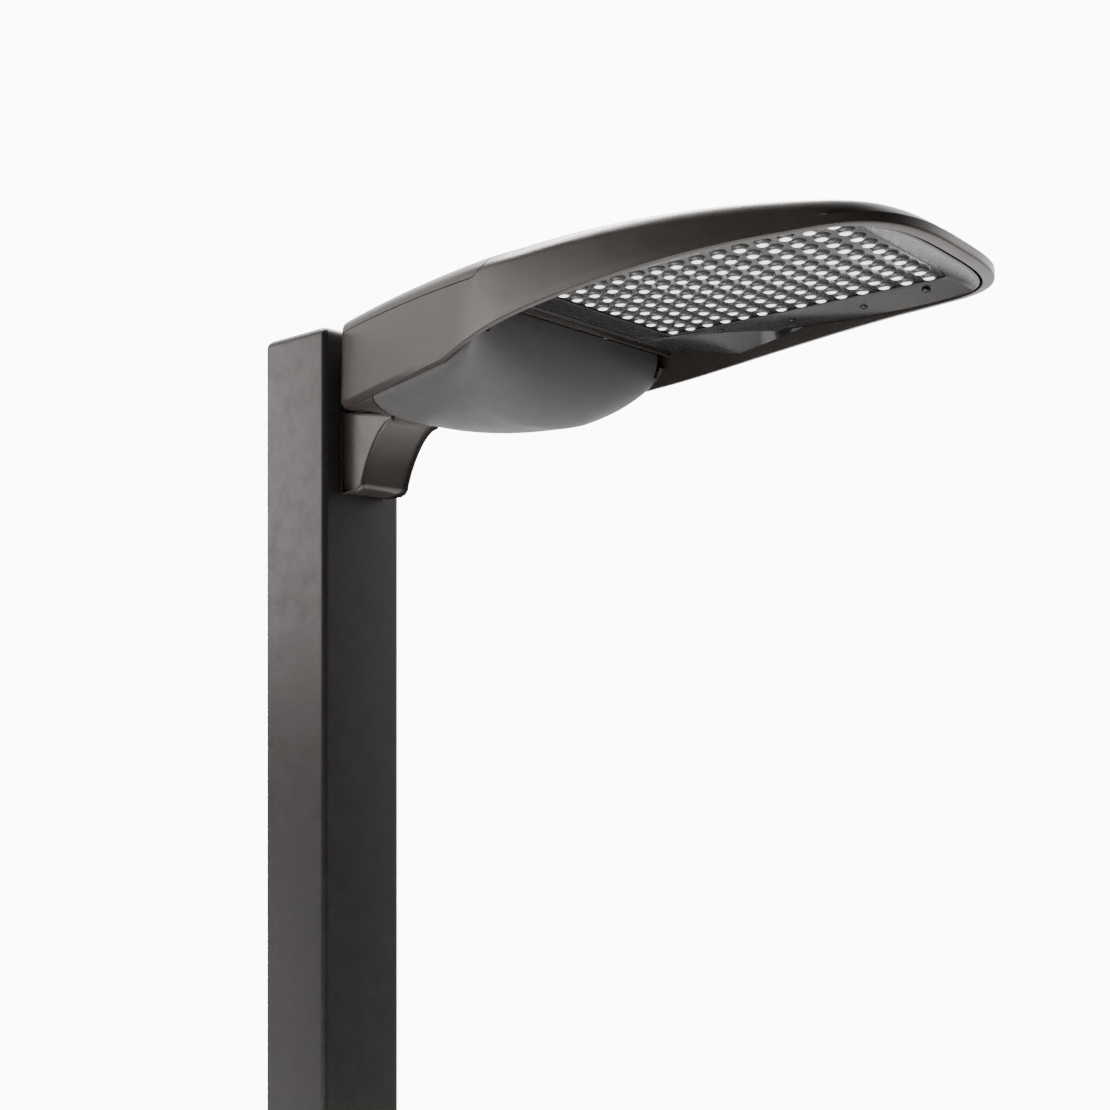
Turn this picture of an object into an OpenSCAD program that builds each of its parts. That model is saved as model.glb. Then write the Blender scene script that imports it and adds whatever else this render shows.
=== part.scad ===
// Street lamp post: a straight square pole with one cantilevered area luminaire.
// Origin: pole axis at the underside of the base plate. +X points along the luminaire, +Z up.
// Heights inside the luminaire modules count from the top of the pole, which pole_top() adds.

/* [Pole] */
// Width across the flats of the square pole
pole_w = 101.6; // [100:0.1:103]
// Height of the pole's top above the ground
pole_h = 3658; // [3000:1:6000]
// Thickness of the pole's wall
pole_t = 3.2; // [3:0.1:4]
// Outside corner radius of the pole
pole_r = 6; // [4:0.5:8]
// Visible height of the pole cap below the nominal top
cap_h = 15; // [12:1:18]
// Height of the cap above the nominal top
cap_rise = 3.5; // [0:0.5:8]

/* [Foot] */
// Width of the square base plate
plate_w = 270; // [260:1:280]
// Thickness of the base plate
plate_t = 19; // [16:1:22]
// Distance between anchor bolt holes along each side
anchor_pitch = 190; // [180:1:200]
// Radius of an anchor bolt hole
anchor_r = 12; // [10:0.5:14]
// Radius of the cable hole in the base plate
conduit_r = 38; // [30:1:42]
// Height of the base cover
foot_h = 96; // [90:1:110]
// Width of the base cover
foot_w = 296; // [290:1:310]

/* [Handhole] */
// Height of the handhole's centre
hand_z = 457; // [400:1:600]
// Width of the handhole
hand_w = 64; // [60:1:66]
// Length of the handhole
hand_l = 127; // [120:1:135]

/* [Luminaire plan] */
// Rear end of the housing, measured from the pole axis
head_x0 = 59; // [57:0.5:60]
// Nose of the housing, measured from the pole axis
head_x1 = 699; // [690:1:705]
// Half width of the housing at its rear end
rear_half_w = 38.6; // [38:0.1:40]
// Growth of the half width for each millimetre of length
flare = 0.328; // [0.32:0.001:0.335]
// Largest half width
max_half_w = 139; // [137:0.5:141]
// Distance of the widest place from the pole axis
widest_x = 415; // [405:1:425]
// Half width lost from the widest place to the start of the nose
bow = 25; // [22:1:28]
// Wall thickness of the castings
wall = 4; // [3.5:0.1:4.5]

/* [Luminaire side view] */
// Height of the luminaire's spine above the top of the pole
spine_z = 9; // [8:0.5:10]
// Drop of the spine from its highest stretch to the nose
spine_fall = 45; // [43:0.5:46]
// Drop of the top surface from the spine to the widest edge
crown = 26; // [24:0.5:27]
// Radius of the rounded top edge
edge_r = 8; // [7:0.5:9]
// Depth of the rear rim below the top of the pole
rim_rear = 82.5; // [80:0.5:84]
// Rise of the rim from the rear to the nose
rim_rise = 32; // [30:0.5:33]
// Bulge of the driver door below the rim
belly = 40; // [38:0.5:41]

/* [Light engine] */
// Rows of lenses along the luminaire
rows = 14; // [12:1:14]
// Lenses in a row across the luminaire
cols = 10; // [6:2:10]
// Lens pitch along the luminaire
pitch_x = 18.7; // [18:0.1:18.8]
// Lens pitch across the luminaire
pitch_y = 16.9; // [16:0.1:17]
// Radius at the foot of a lens
lens_r = 7.2; // [6.5:0.1:7.4]
// Height of a lens below its panel
lens_h = 4; // [3:0.5:5]

/* [Hidden] */
$fn = 48;

paint = "#4b4643";
zinc = "#b9bcc0";
black = "#222222";
inner = "#2f2c2b";
steel = "#8d9094";

eps = 0.01;
gap = 0.4;                              // clearance between loose parts
pole_face = pole_w / 2;
bore_w = pole_w - 2 * pole_t;           // clear width inside the pole

nose_x0 = 640;                          // where the nose corners start
nose_power = 3.2;                       // squareness of the nose corners
rim_x0 = 292;                           // where the rim starts to rise
rim_x1 = 600;                           // where the rim is level again
fall_x0 = 360;                          // where the spine starts to fall
fall_len = 339;
nose_crown = 8;                         // crown left at the nose
hub_x = 380;                            // centre that the top surface's rings shrink to
split_x = 352;                          // front end of the driver compartment
cover_x1 = 372;                         // front end of the top cover on the spine
seam_drop = 12.6;                       // top cover seam below the top edge
door_x0 = 137;                          // rear end of the driver door
door_x1 = 351;                          // front end of the driver door
hinge_x = 343;                          // axis of the driver door
hinge_z = -53;
pin_r = 3;
deck_z = -36.5;                         // face of the lens panel
panel_t = 2;
deck_x0 = 357;                          // rear end of the light engine
array_x = 396;                          // first row of lenses
array_mid = array_x + (rows - 1) * pitch_x / 2;
panel_l = rows * pitch_x + 8;
panel_w = cols * pitch_y + 8;
arm_z0 = -168;                          // bottom of the arm
arm_z1 = -83;                           // top of the arm
arm_half_w = 32;
bolt_z = [-96, -146];                   // heights of the two arm bolts
wire_z = -121;                          // height of the wire hole
bolt_r = 6.5;
wire_r = 12;

// ---------------------------------------------------------------- outlines
function mirrored(half) =
    concat(half, [for (i = [len(half) - 1:-1:0]) if (half[i].y > eps) [half[i].x, -half[i].y]]);

function rounded_square(w, r, steps = 6) =
    [for (q = [0:3]) for (k = [0:steps])
        let (a = 90 * q + 90 * k / steps, c = w / 2 - r)
        [(q == 0 || q == 3 ? c : -c) + r * cos(a), (q < 2 ? c : -c) + r * sin(a)]];

// Half width of the housing, without the nose corners
function body_half_w(x) =
    let (p = 28, a = rear_half_w + flare * (x - head_x0),
        b = max_half_w - bow * pow((x - widest_x) / (nose_x0 - widest_x), 2))
    pow(pow(a / 100, -p) + pow(b / 100, -p), -1 / p) * 100;

function nose_u(x) = min(1, max(0, (x - nose_x0) / (head_x1 - nose_x0)));

function half_w(x) =
    body_half_w(x) * pow(1 - pow(nose_u(x), nose_power), 1 / nose_power);

rear_r = 8;
side_steps = 21;
nose_steps = 9;
half_outline = concat(
    [for (a = [0:30:60]) [head_x0 + rear_r * (1 - cos(a)), rear_half_w - rear_r * (1 - sin(a))]],
    [for (k = [0:side_steps])
        let (x = head_x0 + rear_r + (nose_x0 - head_x0 - rear_r) * k / side_steps)
        [x, half_w(x)]],
    [for (k = [1:nose_steps])
        let (a = 90 * k / nose_steps, x = nose_x0 + (head_x1 - nose_x0) * pow(sin(a), 2 / nose_power))
        [x, k == nose_steps ? 0 : body_half_w(x) * pow(cos(a), 2 / nose_power)]]);
outline = mirrored(half_outline);

function unit(v) = v / norm(v);

// An outline moved inwards by side on its flanks and by nose at its front
function inset(pts, side, nose) =
    let (n = len(pts))
    [for (i = [0:n - 1])
        let (t = unit(pts[(i + 1) % n] - pts[(i + n - 1) % n]),
            d = side + (nose - side) * pow(nose_u(pts[i].x), 2))
        [pts[i].x + d * t.y, pts[i].y - d * t.x]];

// The light engine's opening: the housing's outline ahead of the driver compartment, moved inwards
function front_loop(side, nose) =
    let (w = half_w(deck_x0) - side)
    concat([for (p = inset(outline, side, nose)) if (p.x > deck_x0 + 8) p],
        [for (k = [0:18]) [deck_x0, w * (k / 9 - 1)]]);

// The driver compartment's outline between two places, at a distance d inside the housing's outline
function bay_loop(x0, x1, d, steps = 14) =
    let (xs = [for (k = [0:steps]) x0 + (x1 - x0) * k / steps])
    concat([for (x = xs) [x, half_w(x) - d]],
        [for (k = [steps:-1:0]) [xs[k], d - half_w(xs[k])]]);

// ---------------------------------------------------------------- heights
function spine(x) = spine_z - spine_fall * pow(max(0, x - fall_x0) / fall_len, 1.9);

function crown_at(x) = crown - (crown - nose_crown) * max(0, x - 400) / 299;

function top_z(x, y) = spine(x) - crown_at(x) * pow(y / max_half_w, 2);

function rim_z(x) =
    let (u = min(1, max(0, (x - rim_x0) / (rim_x1 - rim_x0))))
    -rim_rear + rim_rise * (1 - pow(1 - u, 1.7));

function seam_z(x) = top_z(x, half_w(x)) - seam_drop;

function belly_front(x) = sqrt(max(0, 1 - pow(max(0, (x - 290) / 61.5), 2)));

function belly_depth(x) =
    belly * pow(sin(90 * min(1, max(0, (x - 50) / 220))), 1.4) * belly_front(x);

// Where the belly meets the walls; at its front it rises to the light engine
function belly_edge(x) = rim_z(x) + (front_wall_z - 0.5 - rim_z(x)) * (1 - belly_front(x));

// Upper edge of the door's skin
function door_top(x) = min(front_wall_z, max(rim_z(x) + 6, belly_edge(x) + 5));

// Height of the belly at the share t of the half width
function belly_z(x, t) = belly_edge(x) - belly_depth(x) * pow(max(0, 1 - t * t), 0.52);

// Height of the light frame's face along its edge
function frame_z(x) =
    let (u = min(1, max(0, (x - 440) / 200)))
    -39.5 - 9.5 * u * u * (3 - 2 * u);

// Half width of the light frame's face, narrow behind the first lenses
function frame_half_w(x) =
    lookup(x, [[357, 84], [389, 92], [411, 99], [441, 114], [468, 127], [500, 150]]);

// Height at which the light frame's skirt meets the housing's wall
function skirt_z(x) =
    lookup(x, [[372, -42], [430, -54], [500, frame_z(500) - 0.4], [640, frame_z(640) - 0.4]]);

// ---------------------------------------------------------------- helpers
module pole_top() {
    translate([0, 0, pole_h])
        children();
}

// Closed body through a stack of loops, with a centre point at each end
module skin(loops, c0, c1) {
    n = len(loops[0]);
    m = len(loops);
    sides = [for (k = [0:m - 2]) for (i = [0:n - 1])
        let (j = (i + 1) % n, a = k * n + j, b = a + n, c = b - j + i, d = k * n + i)
        each [[a, b, c], [a, c, d]]];
    low = [for (i = [0:n - 1]) [m * n, (i + 1) % n, i]];
    high = [for (i = [0:n - 1]) [m * n + 1, (m - 1) * n + i, (m - 1) * n + (i + 1) % n]];
    polyhedron(concat([for (l = loops) each l], [c0, c1]), concat(sides, low, high), convexity = 6);
}

// Closed ring whose section has one corner on each loop
module ring(loops) {
    n = len(loops[0]);
    m = len(loops);
    polyhedron([for (l = loops) each l],
        [for (k = [0:m - 1]) for (i = [0:n - 1])
            let (j = (i + 1) % n, k2 = (k + 1) % m)
            each [[k * n + j, k2 * n + j, k2 * n + i], [k * n + j, k2 * n + i, k * n + i]]],
        convexity = 6);
}

// Joins freeform shells into one casting
module casting() {
    resize([0, 0, 0])
        children();
}

module side_prism(pts, half) {
    rotate([90, 0, 0])
        linear_extrude(height = 2 * half, center = true)
            polygon(pts);
}

module box(x, y, z) {
    translate([x[0], y[0], z[0]])
        cube([x[1] - x[0], y[1] - y[0], z[1] - z[0]]);
}

module rod_x(r, x, y, z) {
    translate([x[0], y, z])
        rotate([0, 90, 0])
            cylinder(r = r, h = x[1] - x[0]);
}

module rod_y(r, x, y, z) {
    translate([x, y[0], z])
        rotate([-90, 0, 0])
            cylinder(r = r, h = y[1] - y[0]);
}

module rod_z(r, x, y, z) {
    translate([x, y, z[0]])
        cylinder(r = r, h = z[1] - z[0]);
}

// Upright obround prism that runs along Y
module obround_y(w, l, y) {
    r = w / 2;
    box([-r, r], y, [hand_z - l / 2 + r, hand_z + l / 2 - r]);
    for (s = [-1, 1])
        rod_y(r, 0, y, hand_z + s * (l / 2 - r));
}

// ---------------------------------------------------------------- pole
module pole_tube() {
    color(paint)
        difference() {
            translate([0, 0, plate_t])
                linear_extrude(height = pole_h - plate_t - cap_h)
                    difference() {
                        polygon(rounded_square(pole_w, pole_r));
                        polygon(rounded_square(bore_w, pole_r - pole_t));
                    }
            obround_y(hand_w, hand_l, [-pole_face - 1, -pole_face + pole_t + 1]);
            pole_top() {
                for (z = bolt_z)
                    rod_x(bolt_r, [pole_face - pole_t - 1, pole_face + 1], 0, z);
                rod_x(wire_r, [pole_face - pole_t - 1, pole_face + 1], 0, wire_z);
            }
        }
}

module base_plate() {
    color(paint)
        difference() {
            linear_extrude(height = plate_t)
                polygon(rounded_square(plate_w, 10, 4));
            rod_z(conduit_r, 0, 0, [-1, plate_t + 1]);
            for (sx = [-1, 1])
                for (sy = [-1, 1])
                    rod_z(anchor_r, sx * anchor_pitch / 2, sy * anchor_pitch / 2, [-1, plate_t + 1]);
        }
}

cover_t = 3;
cover_low = foot_h - 26;                // where the base cover's sloped top starts
collar_w = pole_w + 3;
module base_cover() {
    color(paint)
        difference() {
            union() {
                linear_extrude(height = cover_low)
                    polygon(rounded_square(foot_w, 14, 4));
                hull() {
                    translate([0, 0, cover_low - 1])
                        linear_extrude(height = 1)
                            polygon(rounded_square(foot_w, 14, 4));
                    translate([0, 0, foot_h - 1])
                        linear_extrude(height = 1)
                            polygon(rounded_square(pole_w + 26, 10, 4));
                }
            }
            translate([0, 0, -1])
                linear_extrude(height = cover_low - 2)
                    polygon(rounded_square(foot_w - 2 * cover_t, 11, 4));
            hull() {
                translate([0, 0, cover_low - 4])
                    linear_extrude(height = 1)
                        polygon(rounded_square(foot_w - 2 * cover_t, 11, 4));
                translate([0, 0, foot_h - 5])
                    linear_extrude(height = 1)
                        polygon(rounded_square(pole_w + 18, 8, 4));
            }
            linear_extrude(height = foot_h + 1)
                polygon(rounded_square(collar_w, pole_r + 1));
        }
}

foot_screw_z = 14;
module base_cover_screws() {
    color(zinc)
        for (s = [-1, 1])
            difference() {
                union() {
                    rod_y(5, 0, s > 0 ? [foot_w / 2, foot_w / 2 + 3] : [-foot_w / 2 - 3, -foot_w / 2], foot_screw_z);
                    rod_y(2.4, 0, s > 0 ? [plate_w / 2 + 1, foot_w / 2 + 1] : [-foot_w / 2 - 1, -plate_w / 2 - 1],
                        foot_screw_z);
                }
                rod_y(1.6, 0, s > 0 ? [foot_w / 2 + 1.2, foot_w / 2 + 4] : [-foot_w / 2 - 4, -foot_w / 2 - 1.2],
                    foot_screw_z);
            }
}

// ---------------------------------------------------------------- handhole
inner_face = -pole_face + pole_t;       // inside of the wall that carries the handhole
frame_t = 5;
tab_z = 48;                             // handhole screws above and below its centre
module handhole_frame() {
    color(paint)
        difference() {
            obround_y(hand_w + 18, hand_l + 18, [inner_face, inner_face + frame_t]);
            box([-hand_w / 2 + 3, hand_w / 2 - 3], [inner_face - 1, inner_face + frame_t + 1],
                [hand_z - 38, hand_z + 38]);
            for (s = [-1, 1])
                rod_y(2.7, 0, [inner_face - 1, inner_face + frame_t + 1], hand_z + s * tab_z);
        }
}

module handhole_cover() {
    color(paint)
        difference() {
            obround_y(hand_w + 14, hand_l + 14, [-pole_face - 3, -pole_face]);
            for (s = [-1, 1])
                rod_y(3, 0, [-pole_face - 4, -pole_face + 1], hand_z + s * tab_z);
        }
}

module handhole_screws() {
    color(zinc)
        for (s = [-1, 1])
            difference() {
                union() {
                    rod_y(5.5, 0, [-pole_face - 6, -pole_face - 3], hand_z + s * tab_z);
                    rod_y(2.5, 0, [-pole_face - 4, inner_face + frame_t + 3], hand_z + s * tab_z);
                }
                rod_y(2, 0, [-pole_face - 7, -pole_face - 4.2], hand_z + s * tab_z);
            }
}

module ground_lug() {
    color("#b08d4a") {
        box([-bore_w / 2, -bore_w / 2 + 12], [-9, 9], [hand_z - 12, hand_z + 12]);
        rod_x(5, [-bore_w / 2 + 12, -bore_w / 2 + 20], 0, hand_z);
    }
}

module pole_cap() {
    skirt = bore_w - 1;
    color(paint)
        pole_top() {
            hull()
                for (k = [0:3])
                    let (a = 30 * k, d = 9 * (1 - cos(a)))
                        translate([0, 0, cap_rise - 10 + 9 * sin(a)])
                            linear_extrude(height = 1)
                                polygon(rounded_square(pole_w - 2 * d, max(2, pole_r - d / 2)));
            translate([0, 0, -cap_h])
                linear_extrude(height = cap_h + cap_rise - 9)
                    polygon(rounded_square(pole_w, pole_r));
            translate([0, 0, -cap_h - 25])
                linear_extrude(height = 26)
                    difference() {
                        polygon(rounded_square(skirt, 3));
                        polygon(rounded_square(skirt - 6, 3));
                    }
        }
}

// ---------------------------------------------------------------- arm
function cove(u) = 0.6 * (1 - sqrt(1 - u * u)) + 0.4 * u;
arm_x0 = pole_face + 1.5;
lip_x = 75;
cove_x = 89;
cove_z0 = arm_z0 + 10.5;
cove_z1 = -102;
arm_profile = concat(
    [[arm_x0, arm_z0]],
    [for (a = [0:30:90]) [lip_x + (cove_x - lip_x) * sin(a), cove_z0 - (cove_z0 - arm_z0) * cos(a)]],
    [for (k = [1:9]) let (u = k / 9)
        [cove_x + (door_x0 - 3 - cove_x) * cove(u), cove_z0 + (cove_z1 - cove_z0) * u]],
    [[door_x0 - 3, -94], [arm_x0, arm_z1]]);

// Body between two places whose underside is the belly, d inside the housing's inner walls
module belly_block(x0, x1, d, top, steps) {
    n = 16;
    function section(x) =
        let (w = half_w(x) - wall - 1.6 - d, zt = top == 0 ? door_top(x) : top)
        concat([[x, -w, zt], [x, w, zt]],
            [for (k = [0:n]) let (t = cos(180 * k / n)) [x, w * t, belly_z(x, t) + d]]);
    xs = [for (k = [0:steps]) x0 + (x1 - x0) * (1 - pow(1 - k / steps, 1.5))];
    skin([for (x = xs) section(x)], [x0, 0, -80], [x1, 0, belly_z(x1, 0) + d + 2]);
}

saddle_pts = [for (x = [90, 122]) for (s = [-1, 1]) [x, s * (half_w(x) - wall - 7)]];
lug_z = -70;
module arm_bracket() {
    color(paint)
        pole_top()
            difference() {
                casting()
                    difference() {
                        union() {
                            side_prism(arm_profile, arm_half_w);
                            difference() {
                                belly_block(head_x0 + 9, door_x0 - 2.4, 0, 0, 8);
                                belly_block(head_x0 + 12.4, door_x0, 3.4, -60, 8);
                            }
                            for (p = saddle_pts)
                                rod_z(5, p.x, p.y, [-86, lug_z - 0.2]);
                        }
                        box([60, 84], [-26, 26], [-160, -60]);
                        box([60, 100], [-26, 26], [-118, -60]);
                    }
                for (z = bolt_z)
                    rod_x(bolt_r, [arm_x0 - 1, 61], 0, z);
                rod_x(wire_r, [arm_x0 - 1, 61], 0, wire_z);
            }
}

module arm_gasket() {
    color(black)
        pole_top()
            difference() {
                box([pole_face, arm_x0], [-30, 30], [arm_z0 + 3, arm_z1 - 3]);
                for (z = bolt_z)
                    rod_x(bolt_r, [pole_face - 1, arm_x0 + 1], 0, z);
                rod_x(wire_r, [pole_face - 1, arm_x0 + 1], 0, wire_z);
            }
}

washer_x = 60;
module arm_washers() {
    color(zinc)
        pole_top()
            for (z = bolt_z)
                difference() {
                    rod_x(11, [washer_x, washer_x + 2.5], 0, z);
                    rod_x(bolt_r, [washer_x - 1, washer_x + 4], 0, z);
                }
}

module arm_bolts() {
    color(zinc)
        pole_top()
            for (z = bolt_z) {
                translate([washer_x + 2.5, 0, z])
                    rotate([0, 90, 0])
                        cylinder(r = 10, h = 7.5, $fn = 6);
                rod_x(6, [pole_face - 22, washer_x + 3], 0, z);
            }
}

nut_x = pole_face - pole_t - 9;
module nut_plate() {
    color(zinc)
        pole_top()
            difference() {
                box([nut_x, nut_x + 9], [-19, 19], [bolt_z[1] - 19, bolt_z[0] + 14]);
                for (z = bolt_z)
                    rod_x(6.1, [nut_x - 1, nut_x + 10], 0, z);
                rod_x(wire_r + 1, [nut_x - 1, nut_x + 10], 0, wire_z);
            }
}

module wire_grommet() {
    color(black)
        pole_top()
            translate([nut_x, 0, wire_z])
                rotate([0, 90, 0])
                    rotate_extrude()
                        polygon([[8.5, 0], [11.6, 0], [11.6, 21.5], [14, 21.5], [14, 23], [8.5, 23]]);
}

module saddle_screws() {
    color(zinc)
        pole_top()
            for (p = saddle_pts) {
                rod_z(4.5, p.x, p.y, [lug_z + 10, lug_z + 13.5]);
                rod_z(2.5, p.x, p.y, [lug_z - 12, lug_z + 10.5]);
            }
}

// ---------------------------------------------------------------- luminaire castings
lean_side = 1.5;
lean_nose = 6;
function edge_radius(p, side) = max(3, edge_r + 6 * nose_u(p.x) - side);

// Closed body under the top surface: side moves its walls in, drop lowers its top, deep lowers its rim
module block(side, drop, deep) {
    shrink = [0.25, 0.5, 0.8];
    rim = inset(outline, side, side);
    function shrunk(pts, s) = [for (p = pts) [hub_x + s * (p.x - hub_x), s * p.y]];
    function low_loop(s) = [for (p = shrunk(rim, s)) [p.x, p.y, rim_z(p.x) - deep]];
    function arc_loop(a) =
        let (r = edge_r, in = side + r * (1 - cos(a)), q = inset(outline, in + lean_side, in + lean_nose))
        [for (i = [0:len(q) - 1])
            let (e = edge_radius(outline[i], side))
            [q[i].x, q[i].y, top_z(q[i].x, q[i].y) - drop - e * (1 - sin(a))]];
    edge = arc_loop(90);
    function high_loop(s) = [for (p = shrunk(edge, s)) [p.x, p.y, top_z(p.x, p.y) - drop]];
    skin(concat([for (s = shrink) low_loop(s)], [low_loop(1)],
            [for (a = [0:22.5:90]) arc_loop(a)],
            [for (k = [2:-1:0]) high_loop(shrink[k])]),
        [hub_x, 0, rim_z(hub_x) - deep], [hub_x, 0, top_z(hub_x, 0) - drop]);
}

// Side view of the region that the top cover takes, with its seam moved down by d
function cover_zone(d) =
    concat([[head_x0 - 10, 60], [head_x0 - 10, seam_z(head_x0) - d]],
        [for (k = [0:12]) let (x = head_x0 + (345 - head_x0) * k / 12) [x, seam_z(x) - d]],
        [[split_x, -25.5 - d], [cover_x1 + d, -14 - d], [cover_x1 + 4 + d, 60]]);

gland_z = -34.5;                        // height of the cable gland in the bulkhead
ear_y = [113, 118];
spreader_z = [-33.4, -31];
frame_pts = [for (p = [[432, 99], [500, 108], [570, 104], [628, 95]]) for (s = [-1, 1]) [p.x, s * p.y]];
module housing() {
    color(paint)
        pole_top()
            difference() {
                casting()
                    difference() {
                        union() {
                            difference() {
                                block(0, 0, 0);
                                block(wall, 3.5, 60);
                            }
                            intersection() {
                                block(1, 1, -2);
                                union() {
                                    box([split_x, split_x + 4], [-150, 150], [-45.8, -20]);
                                    box([split_x, 376], [-150, 150], [-30, -27]);
                                    box([373, 377], [-150, 150], [-30, 20]);
                                    for (y = [-50, 0, 50])
                                        box([377, 640], [y - 1.5, y + 1.5], [spreader_z[1], 20]);
                                    for (p = frame_pts)
                                        rod_z(5, p.x, p.y, [-36, 10]);
                                }
                            }
                            for (p = saddle_pts)
                                box([p.x - 7, p.x + 7],
                                    p.y > 0 ? [p.y - 6, p.y + 7.5] : [p.y - 7.5, p.y + 6], [lug_z, lug_z + 10]);
                            for (p = tray_pts)
                                let (w = half_w(p.x) - wall)
                                    box([p.x - 8, p.x + 8], p.y > 0 ? [w - 19, w + 0.5] : [-w - 0.5, 19 - w],
                                        [tray_z[0] - 5, tray_z[0]]);
                            for (s = [-1, 1]) {
                                y = s > 0 ? ear_y : [-ear_y[1], -ear_y[0]];
                                box([hinge_x - 6, hinge_x + 4], y, [hinge_z - 6, -36]);
                                box([hinge_x - 6, split_x + 1], y, [-41.5, -36]);
                            }
                        }
                        side_prism(cover_zone(0), 160);
                    }
                for (s = [-1, 1])
                    rod_y(pin_r, hinge_x, s > 0 ? [112, 120] : [-120, -112], hinge_z);
                rod_x(7, [split_x - 1, split_x + 5], 20, gland_z);
            }
}

module top_cover() {
    color(paint)
        pole_top()
            casting()
                intersection() {
                    difference() {
                        block(0, 0, 0);
                        block(3, 3, 60);
                    }
                    side_prism(cover_zone(-gap), 160);
                }
}

module top_gasket() {
    function loop(d, z) = [for (p = bay_loop(head_x0 + d, split_x - d + 2, d)) [p.x, p.y, seam_z(p.x) + z]];
    color(black)
        pole_top()
            ring([loop(4.1, -3.5), loop(4.1, -0.3), loop(7.5, -0.3), loop(7.5, -3.5)]);
}

cover_screw_x = [84, 330];
module cover_screws() {
    color(zinc)
        pole_top()
            for (x = cover_screw_x)
                difference() {
                    union() {
                        rod_z(5, x, 0, [top_z(x, 0) - 1, top_z(x, 0) + 1.6]);
                        rod_z(2.5, x, 0, [top_z(x, 0) - 14, top_z(x, 0)]);
                    }
                    rod_z(2, x, 0, [top_z(x, 0) + 0.4, top_z(x, 0) + 2]);
                }
}

// ---------------------------------------------------------------- driver door
front_wall_z = -45.5;                   // top of the door's front wall
knuckle_y = [96, 112];
module driver_door() {
    color(paint)
        pole_top()
            difference() {
                casting()
                    difference() {
                        union() {
                            difference() {
                                belly_block(door_x0, door_x1, 0, 0, 26);
                                belly_block(door_x0 + 3, door_x1 - 3, 3, -40, 26);
                            }
                            box([door_x1 - 3, door_x1 - 0.2], [-112, 112], [-51, front_wall_z]);
                            for (s = [-1, 1]) {
                                y = s > 0 ? knuckle_y : [-knuckle_y[1], -knuckle_y[0]];
                                rod_y(6, hinge_x, y, hinge_z);
                                box([hinge_x, door_x1 - 3], y, [hinge_z - 6, front_wall_z]);
                            }
                        }
                        box([door_x0 - 1, 157], [-12, 12], [-112, -91.4]);
                        for (s = [-1, 1]) {
                            box([335, door_x1 + 1], s > 0 ? [112.4, 118.6] : [-118.6, -112.4], [-68, -40]);
                            box([335, door_x1 + 1], s > 0 ? [118, 130] : [-130, -118], [-57, -40]);
                        }
                    }
                for (s = [-1, 1])
                    rod_y(pin_r + 0.06, hinge_x, s > 0 ? [94, 114] : [-114, -94], hinge_z);
            }
}

module door_gasket() {
    function loop(d, z) =
        [for (p = bay_loop(door_x0 + d - 4.6, 339.6 - d, d)) [p.x, p.y, door_top(p.x) + z]];
    color(black)
        pole_top()
            ring([loop(6, 0), loop(6, 3), loop(8.2, 3), loop(8.2, 0)]);
}

module hinge_pins() {
    color(steel)
        pole_top()
            for (s = [-1, 1])
                rod_y(pin_r, hinge_x, s > 0 ? [97, 118] : [-118, -97], hinge_z);
}

module door_latch() {
    color(black)
        pole_top() {
            box([door_x0 - 1.4, 170], [-11, 11], [-94.6, -92]);
            box([146, 148], [-10, 10], [-103, -93]);
        }
}

// ---------------------------------------------------------------- driver bay
module bulkhead_gland() {
    color(black)
        pole_top()
            translate([split_x - 2, 20, gland_z])
                rotate([0, 90, 0])
                    rotate_extrude()
                        polygon([[3.6, 0], [9, 0], [9, 1.8], [6.8, 1.8], [6.8, 6], [3.6, 6]]);
}

tray_z = [-41, -39];
module driver_tray() {
    color(zinc)
        pole_top()
            difference() {
                translate([0, 0, tray_z[0]])
                    linear_extrude(height = tray_z[1] - tray_z[0])
                        polygon(bay_loop(140, 329, wall + 4));
                for (p = tray_pts)
                    rod_z(2.6, p.x, p.y, [tray_z[0] - 1, tray_z[1] + 1]);
            }
}

tray_pts = [for (x = [150, 322]) for (s = [-1, 1]) [x, s * (half_w(x) - wall - 12)]];
module tray_screws() {
    color(zinc)
        pole_top()
            for (p = tray_pts) {
                rod_z(4.5, p.x, p.y, [tray_z[1], tray_z[1] + 3]);
                rod_z(2.5, p.x, p.y, [tray_z[0] - 4.5, tray_z[1] + 0.5]);
            }
}

module led_driver() {
    color("#d9dadb")
        pole_top()
            difference() {
                union() {
                    box([180, 316], [-52, 8], [-74, tray_z[0]]);
                    box([170, 326], [-40, -4], [tray_z[0] - 2.5, tray_z[0]]);
                }
                for (x = [175, 321])
                    rod_z(2.2, x, -22, [tray_z[0] - 4, tray_z[0] + 1]);
            }
}

module surge_protector() {
    color("#e6e6e2")
        pole_top() {
            box([236, 290], [20, 56], [-66, tray_z[0]]);
            rod_z(2, 263, 38, [-66.8, -65.9]);
        }
}

module terminal_block() {
    color("#efece4")
        pole_top()
            difference() {
                box([166, 210], [20, 48], [-60, tray_z[0]]);
                for (k = [0:2])
                    rod_z(3.4, 174 + 14 * k, 34, [-61, -52]);
            }
}

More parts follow.
